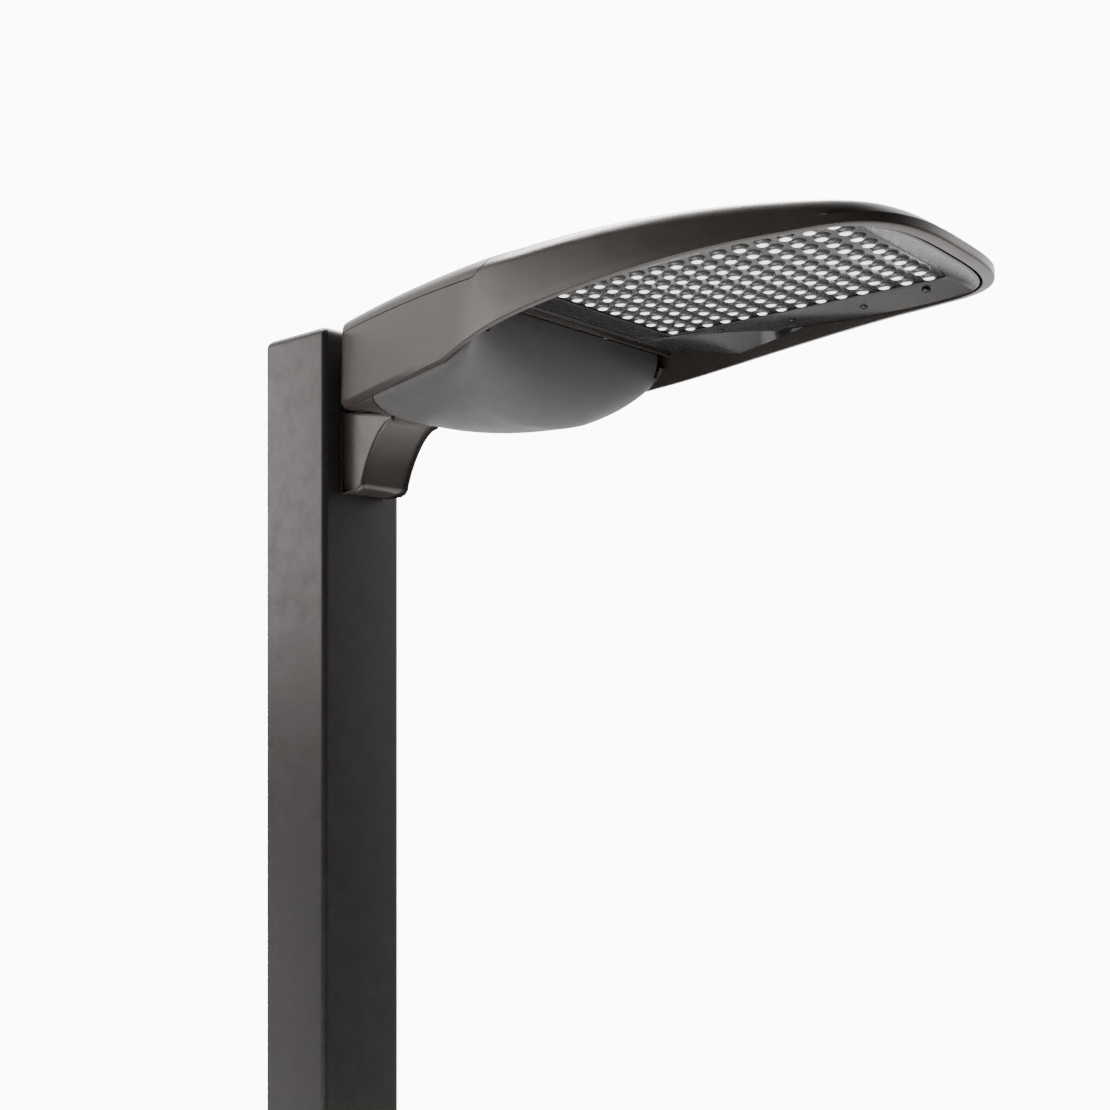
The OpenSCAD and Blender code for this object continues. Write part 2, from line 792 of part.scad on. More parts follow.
// Insulated leads: one core from the terminal block to the driver, two from the driver to the light engine
wire_r2 = 1.6;
function wire_loop(p, t, sides = 8) =
    let (u = unit(cross(t, [0, 0, 1])), v = cross(u, t))
    [for (k = [0:sides - 1]) p + wire_r2 * (u * cos(360 * k / sides) + v * sin(360 * k / sides))];
module lead(pts) {
    n = len(pts);
    skin([for (i = [0:n - 1]) wire_loop(pts[i], unit(pts[min(n - 1, i + 1)] - pts[max(0, i - 1)]))],
        pts[0], pts[n - 1]);
}
function engine_path(d) =
    [[317.6, d - 18, -58], [323, d - 18, -58], [329, d - 15, -56], [332.5, d - 10, -51], [332.8, d - 3, -45],
        [334, d + 5, -39.5], [338, d + 12, -36.5], [344, d + 17, -35], [350, d + 18.2, gland_z],
        [split_x + 4.6, d + 18.2, gland_z]];
supply_path = [[178.2, -20, -56], [170, -18, -56], [163, -8, -55], [160, 8, -53], [159.5, 22, -51],
    [161, 31, -50], [164.2, 34, -50]];
module led_harness() {
    color("#b23a2e")
        pole_top() {
            for (d = [0, 1])
                lead(engine_path(3.6 * d));
            lead(supply_path);
        }
}

// ---------------------------------------------------------------- light engine
module heat_spreader() {
    color("#c9cbcd")
        pole_top()
            box([deck_x0 + 1, 628], [-86, 86], spreader_z);
}

module led_board() {
    color("#e8ebe6")
        pole_top()
            box([array_mid - panel_l / 2 + 7, array_mid + panel_l / 2 - 7],
                [7 - panel_w / 2, panel_w / 2 - 7], [spreader_z[0] - 1, spreader_z[0]]);
}

module lens_panel() {
    color([0.9, 0.93, 0.95, 0.6])
        pole_top() {
            box([array_mid - panel_l / 2, array_mid + panel_l / 2], [-panel_w / 2, panel_w / 2],
                [deck_z, deck_z + panel_t]);
            for (i = [0:rows - 1])
                for (j = [0:cols - 1])
                    translate([array_x + i * pitch_x, (j - (cols - 1) / 2) * pitch_y, deck_z - lens_h])
                        cylinder(r1 = lens_r * 0.55, r2 = lens_r, h = lens_h + 0.5);
        }
}

module lens_gasket() {
    color(black)
        pole_top()
            difference() {
                box([array_mid - panel_l / 2, array_mid + panel_l / 2], [-panel_w / 2, panel_w / 2],
                    [deck_z + panel_t, spreader_z[0]]);
                box([array_mid - panel_l / 2 + 5, array_mid + panel_l / 2 - 5],
                    [5 - panel_w / 2, panel_w / 2 - 5], [-36, -33]);
            }
}

// Frame that holds the lens panel and slopes to the housing's rim
module light_frame() {
    outer = front_loop(wall + 1.9, wall + 9);
    function window(p) =
        let (v = [p.x - array_mid, p.y], a = panel_l / 2 - 1.8, b = panel_w / 2 - 1.8,
            k = pow(pow(abs(v.x) / a, 40) + pow(abs(v.y) / b, 40), -1 / 40))
        [array_mid + k * v.x, k * v.y];
    function edge(p) =
        let (x = p.x + 0.012 * (array_mid - p.x), y = 0.988 * p.y, w = frame_half_w(x), rear = p.x < deck_x0 + 1)
        [x, rear ? y * w / half_w(deck_x0) : min(w, max(-w, y))];
    function at(q, z) = [q.x, q.y, z];
    color(inner)
        pole_top()
            ring([[for (p = outer) at(p, skirt_z(p.x))],
                [for (p = outer) at(p, skirt_z(p.x) + 2.5)],
                [for (p = outer) at(edge(p), frame_z(p.x) + 2)],
                [for (p = outer) at(window(p), deck_z - 0.05)],
                [for (p = outer) at(window(p), deck_z - 2.2)],
                [for (p = outer) at(edge(p), frame_z(p.x))]]);
}

function frame_face(p) =
    let (w = min(frame_half_w(p.x), half_w(p.x) - wall), b = panel_w / 2 - 1.8, u = (abs(p.y) - b) / (w - b))
    (deck_z - 2.2) * (1 - u) + frame_z(p.x) * u;
module frame_screws() {
    color(steel)
        pole_top()
            for (p = frame_pts) {
                rod_z(3.6, p.x, p.y, [frame_face(p) - 1.6, frame_face(p) + 1]);
                rod_z(2, p.x, p.y, [frame_face(p), -30]);
            }
}

pole_tube();
base_plate();
base_cover();
base_cover_screws();
handhole_frame();
handhole_cover();
handhole_screws();
ground_lug();
pole_cap();
arm_bracket();
arm_gasket();
arm_bolts();
arm_washers();
nut_plate();
wire_grommet();
saddle_screws();
housing();
top_cover();
top_gasket();
cover_screws();
driver_door();
door_gasket();
hinge_pins();
door_latch();
bulkhead_gland();
driver_tray();
tray_screws();
led_driver();
surge_protector();
terminal_block();
led_harness();
heat_spreader();
led_board();
lens_panel();
lens_gasket();
light_frame();
frame_screws();
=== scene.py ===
# %% [markdown]
# # A street lamp post
# The object is a square steel pole with one slim LED luminaire at its top. The measured frame of the
# object is loaded first: it gives every piece its place, and the pieces made below are the fine skin
# over it. Lengths in the helpers are millimetres, and heights in the luminaire count from TOP, a level
# just over the end of the tube, because that is how such a luminaire is drawn.

# %% The frame and its measures
import math
import bmesh
import bpy
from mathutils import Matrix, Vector


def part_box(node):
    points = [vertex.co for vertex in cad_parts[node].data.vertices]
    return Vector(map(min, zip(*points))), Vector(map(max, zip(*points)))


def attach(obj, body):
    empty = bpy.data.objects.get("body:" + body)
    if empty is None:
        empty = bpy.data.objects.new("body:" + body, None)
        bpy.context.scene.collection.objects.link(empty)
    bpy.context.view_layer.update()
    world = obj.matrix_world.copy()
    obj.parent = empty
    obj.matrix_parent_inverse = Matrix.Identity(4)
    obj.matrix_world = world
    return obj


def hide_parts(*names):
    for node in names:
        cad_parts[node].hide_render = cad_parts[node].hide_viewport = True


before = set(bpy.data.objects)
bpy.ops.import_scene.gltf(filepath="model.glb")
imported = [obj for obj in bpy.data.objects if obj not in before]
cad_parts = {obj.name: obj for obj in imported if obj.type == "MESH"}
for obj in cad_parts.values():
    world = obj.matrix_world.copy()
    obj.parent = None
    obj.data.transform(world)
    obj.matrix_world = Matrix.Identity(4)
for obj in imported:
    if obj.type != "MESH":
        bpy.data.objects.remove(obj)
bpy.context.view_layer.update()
MM = 0.001
TOP_OVER_TUBE = 15


def limits(node):
    low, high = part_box(node)
    return [v / MM for v in low], [v / MM for v in high]


pole_low, pole_high = limits("pole_tube")
cap_low, cap_high = limits("pole_cap")
head_low, head_high = limits("housing")
TOP = pole_high[2] + TOP_OVER_TUBE
pole_w = pole_high[0] - pole_low[0]
x_rear, x_nose = head_low[0], head_high[0]
print(f"pole {pole_w:.1f} mm wide and {cap_high[2]:.0f} mm high")
print(f"luminaire {x_nose - x_rear:.0f} mm long")

# %% [markdown]
# ## Making and cutting meshes
# Every piece is a closed mesh made from loops of points, like the frames of a boat's hull. One helper
# joins the loops, one turns points into a mesh object, one carves a piece with another and one joins
# two. Writing them once keeps each later cell short.

# %% Mesh helpers
def skin(loops, close=False, caps=True):
    """Faces between loops of equal length; caps fill both ends."""
    n, m = len(loops[0]), len(loops)
    points = [p for loop in loops for p in loop]
    faces = []
    for k in range(m if close else m - 1):
        a, b = k * n, ((k + 1) % m) * n
        for i in range(n):
            j = (i + 1) % n
            faces.append((a + j, a + i, b + i, b + j))
    if caps and not close:
        faces.append(tuple(range(n)))
        faces.append(tuple(reversed(range((m - 1) * n, m * n))))
    return points, faces


def slab(x, y, z, r=0.8, steps=2):
    """A block with rounded edges between two places on each axis."""
    bm = bmesh.new()
    bmesh.ops.create_cube(bm, size=1)
    for v in bm.verts:
        v.co = [lo + (c + 0.5) * (hi - lo) for c, (lo, hi) in zip(v.co, (x, y, z))]
    if r:
        bmesh.ops.bevel(bm, geom=bm.edges[:], offset=r, segments=steps, profile=0.5, affect="EDGES")
    bm.verts.index_update()
    out = [tuple(v.co) for v in bm.verts], [tuple(v.index for v in f.verts) for f in bm.faces]
    bm.free()
    return out


def rod(r, start, end, sides=32, ease=0.0):
    """A round bar between two points, with eased ends."""
    axis = Vector(end) - Vector(start)
    length = axis.length
    turn = Vector((0, 0, 1)).rotation_difference(axis)
    rings = [(r, 0), (r, length)]
    if ease:
        rings = [(r - ease, 0), (r, ease), (r, length - ease), (r - ease, length)]
    angles = [2 * math.pi * k / sides for k in range(sides)]
    return skin([[tuple(Vector(start) + turn @ Vector((radius * math.cos(a), radius * math.sin(a), h)))
                  for a in angles] for radius, h in rings])


def place(name, data):
    obj = bpy.data.objects.new(name, data)
    bpy.context.scene.collection.objects.link(obj)
    return obj


def shape(name, part, lift=0.0):
    """A closed mesh object from points in millimetres, its faces pointing outwards."""
    points, faces = part
    mesh = bpy.data.meshes.new(name)
    mesh.from_pydata([(x * MM, y * MM, (z + lift) * MM) for x, y, z in points], [], faces)
    bm = bmesh.new()
    bm.from_mesh(mesh)
    bmesh.ops.remove_doubles(bm, verts=bm.verts[:], dist=1e-6)
    bmesh.ops.recalc_face_normals(bm, faces=bm.faces[:])
    bm.to_mesh(mesh)
    bm.free()
    return place(name, mesh)


def freeze(obj):
    """Keeps what the modifiers make and drops the modifiers."""
    graph = bpy.context.evaluated_depsgraph_get()
    made = bpy.data.meshes.new_from_object(obj.evaluated_get(graph))
    obj.modifiers.clear()
    obj.data = made
    return obj


def carve(obj, tool, how="DIFFERENCE"):
    """Cuts obj with the tool, which is used up."""
    cut = obj.modifiers.new("carve", "BOOLEAN")
    cut.operation = how
    cut.solver = "EXACT"
    cut.object = tool
    freeze(obj)
    bpy.data.objects.remove(tool)
    return obj


def score(obj, point, normal):
    """Adds an edge line all round where a later cut will come, so the cut leaves clean faces."""
    bm = bmesh.new()
    bm.from_mesh(obj.data)
    bmesh.ops.bisect_plane(bm, geom=bm.verts[:] + bm.edges[:] + bm.faces[:], dist=1e-7,
                           plane_co=[v * MM for v in point], plane_no=normal)
    bm.to_mesh(obj.data)
    bm.free()


def join_in(obj, extra):
    """Adds another object's closed shape to a piece; the other object is used up."""
    bm = bmesh.new()
    bm.from_mesh(obj.data)
    bm.from_mesh(extra.data)
    bm.to_mesh(obj.data)
    bm.free()
    bpy.data.objects.remove(extra)


def weld_in(obj, part):
    """Adds a further closed shape, measured from TOP, to a piece."""
    join_in(obj, shape("extra", part, TOP))


def finish_piece(obj, finish, body, stands_for=(), soft=34):
    """Smooth shading up to an angle, a finish, and the piece's place in the frame."""
    mesh = obj.data
    mesh.materials.clear()
    mesh.materials.append(finish)
    for face in mesh.polygons:
        face.use_smooth = True
        face.material_index = 0
    mesh.set_sharp_from_angle(angle=math.radians(soft))
    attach(obj, body)
    if stands_for:
        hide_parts(*stands_for)
    print(f"{obj.name}: {len(mesh.polygons)} faces")
    return obj


print("helpers ready")

# %% [markdown]
# ## Surface effects
# Powder coat is sprayed as dust and baked, so it has a fine orange peel and a slow change of tone where
# it is thicker or weathered. Three shader node groups hold the effects that several finishes share: a
# fine peel, a slow mottle, and a brushed grain. Each material gives them its own values.

# %% Shared node groups
def new_group(name, inputs, outputs):
    tree = bpy.data.node_groups.new(name, "ShaderNodeTree")
    for label, kind, value in inputs:
        socket = tree.interface.new_socket(name=label, in_out="INPUT", socket_type=kind)
        if value is not None:
            socket.default_value = value
    for label, kind in outputs:
        tree.interface.new_socket(name=label, in_out="OUTPUT", socket_type=kind)
    return tree, tree.nodes.new("NodeGroupInput").outputs, tree.nodes.new("NodeGroupOutput").inputs


FLOAT, VECTOR = "NodeSocketFloat", "NodeSocketVector"


def add_noise(tree, vector, scale, detail=2.0, rough=0.5):
    node = tree.nodes.new("ShaderNodeTexNoise")
    node.inputs["Detail"].default_value = detail
    node.inputs["Roughness"].default_value = rough
    tree.links.new(vector, node.inputs["Vector"])
    if isinstance(scale, (int, float)):
        node.inputs["Scale"].default_value = scale
    else:
        tree.links.new(scale, node.inputs["Scale"])
    return node.outputs["Fac"]


def add_math(tree, how, a, b=None, c=None):
    node = tree.nodes.new("ShaderNodeMath")
    node.operation = how
    for k, v in enumerate((a, b, c)):
        if v is None:
            continue
        if isinstance(v, (int, float)):
            node.inputs[k].default_value = v
        else:
            tree.links.new(v, node.inputs[k])
    return node.outputs[0]


def add_range(tree, value, low, high, to_low=0.0, to_high=1.0):
    node = tree.nodes.new("ShaderNodeMapRange")
    tree.links.new(value, node.inputs["Value"])
    for label, v in (("From Min", low), ("From Max", high), ("To Min", to_low), ("To Max", to_high)):
        node.inputs[label].default_value = v
    return node.outputs["Result"]


def add_vector_math(tree, how, a, b):
    node = tree.nodes.new("ShaderNodeVectorMath")
    node.operation = how
    tree.links.new(a, node.inputs[0])
    if isinstance(b, tuple):
        node.inputs[1].default_value = b
    else:
        tree.links.new(b, node.inputs[1])
    return node.outputs["Value" if how == "DOT_PRODUCT" else "Vector"]


def add_group(tree, group, vector, **values):
    """Places a shared group in a material with the material's own values."""
    node = tree.nodes.new("ShaderNodeGroup")
    node.node_tree = group
    tree.links.new(vector, node.inputs["Vector"])
    for label, value in values.items():
        node.inputs[label].default_value = value
    return node.outputs


def add_relief(tree, height, strength, depth):
    """A Bump node between a height and the material's own shader."""
    node = tree.nodes.new("ShaderNodeBump")
    node.inputs["Strength"].default_value = strength
    node.inputs["Distance"].default_value = depth
    tree.links.new(height, node.inputs["Height"])
    tree.links.new(node.outputs["Normal"], tree.nodes["Principled BSDF"].inputs["Normal"])


peel_group, g_in, g_out = new_group(
    "orange_peel", [("Vector", VECTOR, None), ("Scale", FLOAT, 900.0)], [("Height", FLOAT), ("Speck", FLOAT)])
fine = add_noise(peel_group, g_in["Vector"], g_in["Scale"], 1.0)
wide = add_noise(peel_group, g_in["Vector"], 210.0, 2.0)
height = add_math(peel_group, "MULTIPLY_ADD", wide, 0.6, fine)
peel_group.links.new(height, g_out["Height"])
peel_group.links.new(add_range(peel_group, fine, 0.35, 0.75), g_out["Speck"])

mottle_group, g_in, g_out = new_group(
    "slow_mottle", [("Vector", VECTOR, None), ("Scale", FLOAT, 6.0)], [("Tone", FLOAT), ("Patches", FLOAT)])
slow = add_noise(mottle_group, g_in["Vector"], g_in["Scale"], 4.0, 0.6)
patch = add_noise(mottle_group, g_in["Vector"], 38.0, 3.0, 0.65)
mottle_group.links.new(add_range(mottle_group, slow, 0.3, 0.7), g_out["Tone"])
mottle_group.links.new(add_range(mottle_group, patch, 0.42, 0.72), g_out["Patches"])

grain_group, g_in, g_out = new_group(
    "brushed_grain", [("Vector", VECTOR, None), ("Stretch", VECTOR, (1, 1, 1))], [("Grain", FLOAT)])
pulled = add_vector_math(grain_group, "MULTIPLY", g_in["Vector"], g_in["Stretch"])
grain_group.links.new(add_noise(grain_group, pulled, 1.0, 3.0, 0.6), g_out["Grain"])
print("shared effects:", [g.name for g in (peel_group, mottle_group, grain_group)])

# %% [markdown]
# ## Finishes
# A finish is one Principled shader. Its colour moves between two close tones with the mottle, its
# roughness moves a little with the same mask, and the peel or the grain goes into a Bump node. Values
# that are the same all over are typed into the shader's own sockets.

# %% Finish maker
SPECK_SHARE = 0.25
RELIEF_DEPTH = 0.5 * MM


def finish(name, tone_a, tone_b, rough=(0.35, 0.45), metal=0.0, coat=0.0, peel=900.0, bump=0.05,
           grain=None, mottle=6.0, specular=0.5):
    mat = bpy.data.materials.new(name)
    mat.use_nodes = True
    tree = mat.node_tree
    shader = tree.nodes["Principled BSDF"]
    where = tree.nodes.new("ShaderNodeTexCoord").outputs["Object"]
    slow = add_group(tree, mottle_group, where, Scale=mottle)
    if grain:
        high = speck = add_group(tree, grain_group, where, Stretch=grain)["Grain"]
    else:
        fine = add_group(tree, peel_group, where, Scale=peel)
        high, speck = fine["Height"], fine["Speck"]
    tone = add_math(tree, "MULTIPLY", slow["Tone"], 1 - SPECK_SHARE)
    mask = add_math(tree, "MULTIPLY_ADD", speck, SPECK_SHARE, tone)
    mix = tree.nodes.new("ShaderNodeMix")
    mix.data_type = "RGBA"
    mix.inputs["A"].default_value = (*tone_a, 1)
    mix.inputs["B"].default_value = (*tone_b, 1)
    tree.links.new(mask, mix.inputs["Factor"])
    tree.links.new(mix.outputs["Result"], shader.inputs["Base Color"])
    tree.links.new(add_range(tree, slow["Patches"], 0, 1, *rough), shader.inputs["Roughness"])
    add_relief(tree, high, bump, RELIEF_DEPTH)
    shader.inputs["Metallic"].default_value = metal
    shader.inputs["Coat Weight"].default_value = coat
    shader.inputs["Coat Roughness"].default_value = 0.25
    shader.inputs["Specular IOR Level"].default_value = specular
    return mat


# name, darker tone, lighter tone, roughness from and to, then what differs from plain paint
bronze_coat = finish("bronze_powder_coat", (0.046, 0.038, 0.034), (0.058, 0.049, 0.045), (0.30, 0.38),
                     bump=0.10, coat=0.15)
pole_coat = finish("pole_powder_coat", (0.036, 0.034, 0.033), (0.046, 0.043, 0.041), (0.34, 0.44),
                   bump=0.14, mottle=3.0)
# Painted light: the door's grey is lighter than the housing's bronze, standing for the light that the belly
# catches from below.
door_coat_painted_light = finish("door_powder_coat", (0.092, 0.090, 0.091), (0.106, 0.104, 0.105), (0.44, 0.54),
                   bump=0.14, specular=0.35)
plate_coat = finish("charcoal_coat", (0.020, 0.019, 0.019), (0.027, 0.026, 0.026), (0.24, 0.31), bump=0.08)
stainless = finish("stainless_steel", (0.52, 0.52, 0.51), (0.62, 0.62, 0.61), (0.22, 0.34), 1.0,
                   bump=0.10, grain=(900, 900, 160))
zinc = finish("zinc_plate", (0.50, 0.51, 0.53), (0.64, 0.65, 0.66), (0.30, 0.46), 1.0,
              bump=0.08, grain=(60, 700, 700), mottle=40.0)
black_steel = finish("blackened_stainless", (0.045, 0.044, 0.044), (0.07, 0.068, 0.068), (0.30, 0.42), 0.8,
                     bump=0.10, grain=(900, 900, 160))
brass = finish("plain_brass", (0.55, 0.41, 0.20), (0.66, 0.50, 0.27), (0.26, 0.40), 1.0,
               bump=0.06, grain=(700, 700, 90))
rubber = finish("black_silicone", (0.020, 0.020, 0.020), (0.034, 0.034, 0.034), (0.62, 0.75),
                bump=0.25, peel=1500.0)
black_plastic = finish("black_moulding", (0.020, 0.020, 0.022), (0.032, 0.032, 0.034), (0.36, 0.5),
                       bump=0.18, peel=1800.0)
white_plastic = finish("off_white_moulding", (0.66, 0.65, 0.60), (0.74, 0.73, 0.69), (0.35, 0.5),
                       bump=0.12, peel=1600.0, mottle=20.0)
driver_case = finish("driver_case_coat", (0.60, 0.61, 0.62), (0.70, 0.71, 0.72), (0.30, 0.42), 0.4,
                     bump=0.08, grain=(50, 800, 800), mottle=15.0)
red_lead = finish("red_insulation", (0.42, 0.035, 0.03), (0.52, 0.06, 0.05), (0.34, 0.46),
                  bump=0.05, mottle=50.0)
bare_aluminium = finish("mill_aluminium", (0.70, 0.71, 0.72), (0.80, 0.81, 0.82), (0.24, 0.36), 1.0,
                        bump=0.08, grain=(30, 600, 600))
board_white = finish("solder_resist", (0.76, 0.78, 0.75), (0.84, 0.85, 0.82), (0.28, 0.4),
                     bump=0.06, peel=2000.0)
print("finishes:", len(bpy.data.materials))

# %% [markdown]
# ## The rule of the luminaire's shape
# The housing widens in a straight line from the arm, runs almost level past its widest place and ends
# in a squarish nose. A few functions say how wide it is, how high its crowned top lies and how its lower
# rim rises. All castings use them, so the cover, the door and the frame fit the housing by rule.

# %% Plan and heights
NOSE_START = 640.0
NOSE_POWER = 3.2
REAR_ROUND = 8.0
WALL = 4.0
HALF_MOST = 139.0
SEAM_DROP = 12.6
CORE_X = 380.0


def clamp(v, low=0.0, high=1.0):
    return max(low, min(high, v))


def ease(u):
    u = clamp(u)
    return u * u * (3 - 2 * u)


def follow(x, stations):
    """Straight lines between stations (place, value)."""
    for (a, u), (b, v) in zip(stations, stations[1:]):
        if x <= b:
            return u + (v - u) * clamp((x - a) / (b - a))
    return stations[-1][1]


def body_half_w(x):
    p = 28
    a = 38.6 + 0.328 * (x - x_rear)
    b = HALF_MOST - 25 * ((x - 415) / (NOSE_START - 415)) ** 2
    return 100 * ((a / 100) ** -p + (b / 100) ** -p) ** (-1 / p)


def nose_u(x):
    return clamp((x - NOSE_START) / (x_nose - NOSE_START))


def half_w(x):
    return body_half_w(x) * max(0.0, 1 - nose_u(x) ** NOSE_POWER) ** (1 / NOSE_POWER)


def inner_w(x):
    return half_w(x) - WALL


def spine(x):
    return 9 - 45 * (max(0.0, x - 360) / 339) ** 1.9


def top_z(x, y):
    crown = 26 - 18 * max(0.0, x - 400) / 299
    return spine(x) - crown * (y / HALF_MOST) ** 2


def rim_z(x):
    u = clamp((x - 292) / 308)
    return -82.5 + 32 * (1 - (1 - u) ** 1.7)


def seam_z(x):
    return top_z(x, half_w(x)) - SEAM_DROP


def belly_front(x):
    return math.sqrt(max(0.0, 1 - (max(0.0, x - 290) / 61.5) ** 2))


def belly_edge(x):
    return rim_z(x) + (-46 - rim_z(x)) * (1 - belly_front(x)) ** 1.5


def belly_z(x, t):
    depth = 40 * math.sin(math.radians(90) * clamp((x - 50) / 220)) ** 1.4 * belly_front(x)
    return belly_edge(x) - depth * max(0.0, 1 - t * t) ** 0.52


def frame_z(x):
    return -39.5 - 9.5 * ease((x - 440) / 200)


half_plan = []
for k in range(6):
    a = math.radians(15 * k)
    x = x_rear + REAR_ROUND * (1 - math.cos(a))
    half_plan.append((x, half_w(x) - REAR_ROUND * (1 - math.sin(a))))
for k in range(78):
    x = x_rear + REAR_ROUND + (NOSE_START - x_rear - REAR_ROUND) * k / 77
    half_plan.append((x, half_w(x)))
for k in range(1, 31):
    a = math.radians(3 * k)
    x = NOSE_START + (x_nose - NOSE_START) * math.sin(a) ** (2 / NOSE_POWER)
    half_plan.append((x, 0.0 if k == 30 else body_half_w(x) * math.cos(a) ** (2 / NOSE_POWER)))
plan = half_plan + [(x, -y) for x, y in reversed(half_plan) if y > 0.01]


def inset(points, side, nose=None):
    """An outline moved inwards; side and nose may be functions of the place."""
    out, n = [], len(points)
    for i, (x, y) in enumerate(points):
        (ax, ay), (bx, by) = points[i - 1], points[(i + 1) % n]
        tx, ty = bx - ax, by - ay
        size = math.hypot(tx, ty)
        d = side(x) if callable(side) else side
        if nose is not None:
            d += (nose - d) * nose_u(x) ** 2
        out.append((x + d * ty / size, y - d * tx / size))
    return out


print(f"outline of {len(plan)} points, widest half {max(y for _, y in plan):.1f} mm")

# %% [markdown]
# ## Housing and top cover
# Both are die-cast shells. The outer body and the hollow are lofted from the same outline: up the leaning
# wall, round the soft top edge and in over the crowned top. Carving the hollow and the cover's region
# from the body leaves real walls. Near the arm the wall's foot rolls inwards, which gives the lip that
# catches the light.

# %% Lofted bodies
EDGE_ROUND = 9.5


def lip(x):
    return 3.2 * (1 - ease((x - 130) / 150))


def towards_core(loop, s):
    """A loop drawn together to share s of its size, in plan."""
    return [(CORE_X + s * (p[0] - CORE_X), s * p[1]) for p in loop]


def lofted_body(side, drop, deep, foot=0.0, rolled=False):
    """side: how far inside the outline; drop: how far under the top; deep: how far below the rim."""
    loops = []

    def level(d, z):
        return [(x, y, z(plan[i][0])) for i, (x, y) in enumerate(inset(plan, d))]

    def low(x):
        return rim_z(x) - deep

    def roll(x):
        return lip(x) if rolled else 0

    base = inset(plan, lambda x: side + foot + roll(x))
    for s in (0.1, 0.35, 0.65, 0.88):
        loops.append([(x, y, low(x)) for x, y in towards_core(base, s)])
    if foot:
        for a in (0, 30, 60, 90):
            rise = foot * (1 - math.cos(math.radians(a)))
            pull = foot * (1 - math.sin(math.radians(a)))
            loops.append(level(lambda x, p=pull: side + p + roll(x), lambda x, r=rise: low(x) + r))
    else:
        loops.append(level(side, low))
    if rolled:
        for h in (2.2, 3.4, 4.6, 5.8, 6.6, 7.2):
            share = 1 - clamp((h - 1) / 6)
            loops.append(level(lambda x, s=share: side + lip(x) * s ** 1.6, lambda x, h=h: low(x) + h))
    elif not deep:
        loops.append(level(side, lambda x: low(x) + 8))
    for a in range(0, 91, 9):
        pull = side + EDGE_ROUND * (1 - math.cos(math.radians(a)))
        fall = 1 - math.sin(math.radians(a))
        ring = inset(plan, pull + 1.5, pull + 6)
        loops.append([(x, y, top_z(x, y) - drop - max(3, EDGE_ROUND + 6 * nose_u(plan[i][0]) - side) * fall)
                      for i, (x, y) in enumerate(ring)])
    edge = loops[-1]
    for s in (0.97, 0.91, 0.82, 0.7, 0.56, 0.42, 0.28, 0.14, 0.04):
        loops.append([(x, y, top_z(x, y) - drop) for x, y in towards_core(edge, s)])
    return skin(loops)


def cover_region(d):
    """Side view of what belongs to the top cover, as a thick slice across the luminaire."""
    line = [(x_rear - 10, 60), (x_rear - 10, seam_z(x_rear) - d)]
    line += [(x, seam_z(x) - d) for x in (x_rear + (338 - x_rear) * k / 30 for k in range(31))]
    line += [(344, -25.9 - d), (349, -24.6 - d), (354, -22.6 - d), (359 + d, -19.6 - d), (364 + d, -15.6 - d),
             (368.5 + d, -10.5 - d), (371.5 + d, -4 - d), (373 + d, 5), (374 + d, 60)]
    return skin([[(x, y, z) for x, z in line] for y in (-160, 160)])


FOOT_ROUND = 1.2
housing = shape("housing_casting", lofted_body(0, 0, 0, FOOT_ROUND, True), TOP)
carve(housing, shape("hollow", lofted_body(WALL, 3.5, 60), TOP))
carve(housing, shape("region", cover_region(0), TOP))

cover = shape("top_cover_casting", lofted_body(0, 0, 0), TOP)
carve(cover, shape("region", cover_region(-0.75), TOP), "INTERSECT")
carve(cover, shape("hollow", lofted_body(3, 3, 60), TOP))
print("housing", len(housing.data.polygons), "top cover", len(cover.data.polygons))

# %% [markdown]
# Inside, the casting carries a bulkhead between driver bay and light engine, a shelf under the cover's
# front edge, cooling ribs, lugs for the driver tray and the two hinge ears. They are plain ribbed blocks
# with softened edges, so each is a bevelled slab that joins the casting.

# %% Ribs, lugs and ears of the housing
half_in = inner_w(354) - 1
inside = [slab((352, 356), (-half_in, half_in), (-45.8, -27.5), 0.6),
          slab((352, 376), (-half_in, half_in), (-30, -27), 0.5)]
step = [(y, top_z(375, y) - 1.6 if abs(y) < half_in - 6 else top_z(375, y) - 5)
        for y in [half_in * (k / 12 - 1) for k in range(25)]]
inside.append(skin([[(x, step[0][0], -30)] + [(x, y, z) for y, z in step] + [(x, step[-1][0], -30)]
                    for x in (373.5, 376.5)]))
for y in (-50, 0, 50):
    ridge = [(x, top_z(x, y) - 2.5) for x in range(377, 641, 12)]
    inside.append(skin([[(377, s, -31)] + [(x, s, z) for x, z in ridge] + [(641, s, -31)]
                        for s in (y - 1.5, y + 1.5)]))
for x in (150, 322):
    for s in (-1, 1):
        a, b = s * (inner_w(x) - 19), s * (inner_w(x) + 0.5)
        inside.append(slab((x - 8, x + 8), (min(a, b), max(a, b)), (-46, -41), 0.7))
pin_low, pin_high = limits("hinge_pins")
hinge_x = (pin_low[0] + pin_high[0]) / 2
hinge_z = (pin_low[2] + pin_high[2]) / 2 - TOP
ear_out = pin_high[1]
for s in (-1, 1):
    y = (ear_out - 5, ear_out) if s > 0 else (-ear_out, 5 - ear_out)
    inside.append(slab((hinge_x - 6, hinge_x + 4), y, (hinge_z - 6, -36), 1.5))
    inside.append(slab((hinge_x - 6, 353), y, (-41.5, -36), 0.8))
for part in inside:
    weld_in(housing, part)
finish_piece(housing, bronze_coat, "root", ["housing"])
finish_piece(cover, bronze_coat, "top_cover", ["top_cover"])

# %% [markdown]
# ## Driver door
# The door is the belly under the driver bay. At its front the skin rolls up to the light engine. Its
# sections are curves across the luminaire; they lie closer together at the front, where the skin turns
# quickly. A second, smaller loft hollows it, and two slots let the hinge ears pass.

# %% Door shell
door_low, door_high = limits("driver_door")
door_x0, door_x1 = door_low[0], door_high[0]
SIDE_GAP = 1.6
SLOT_IN, SLOT_OUT = 112.4, 118.6


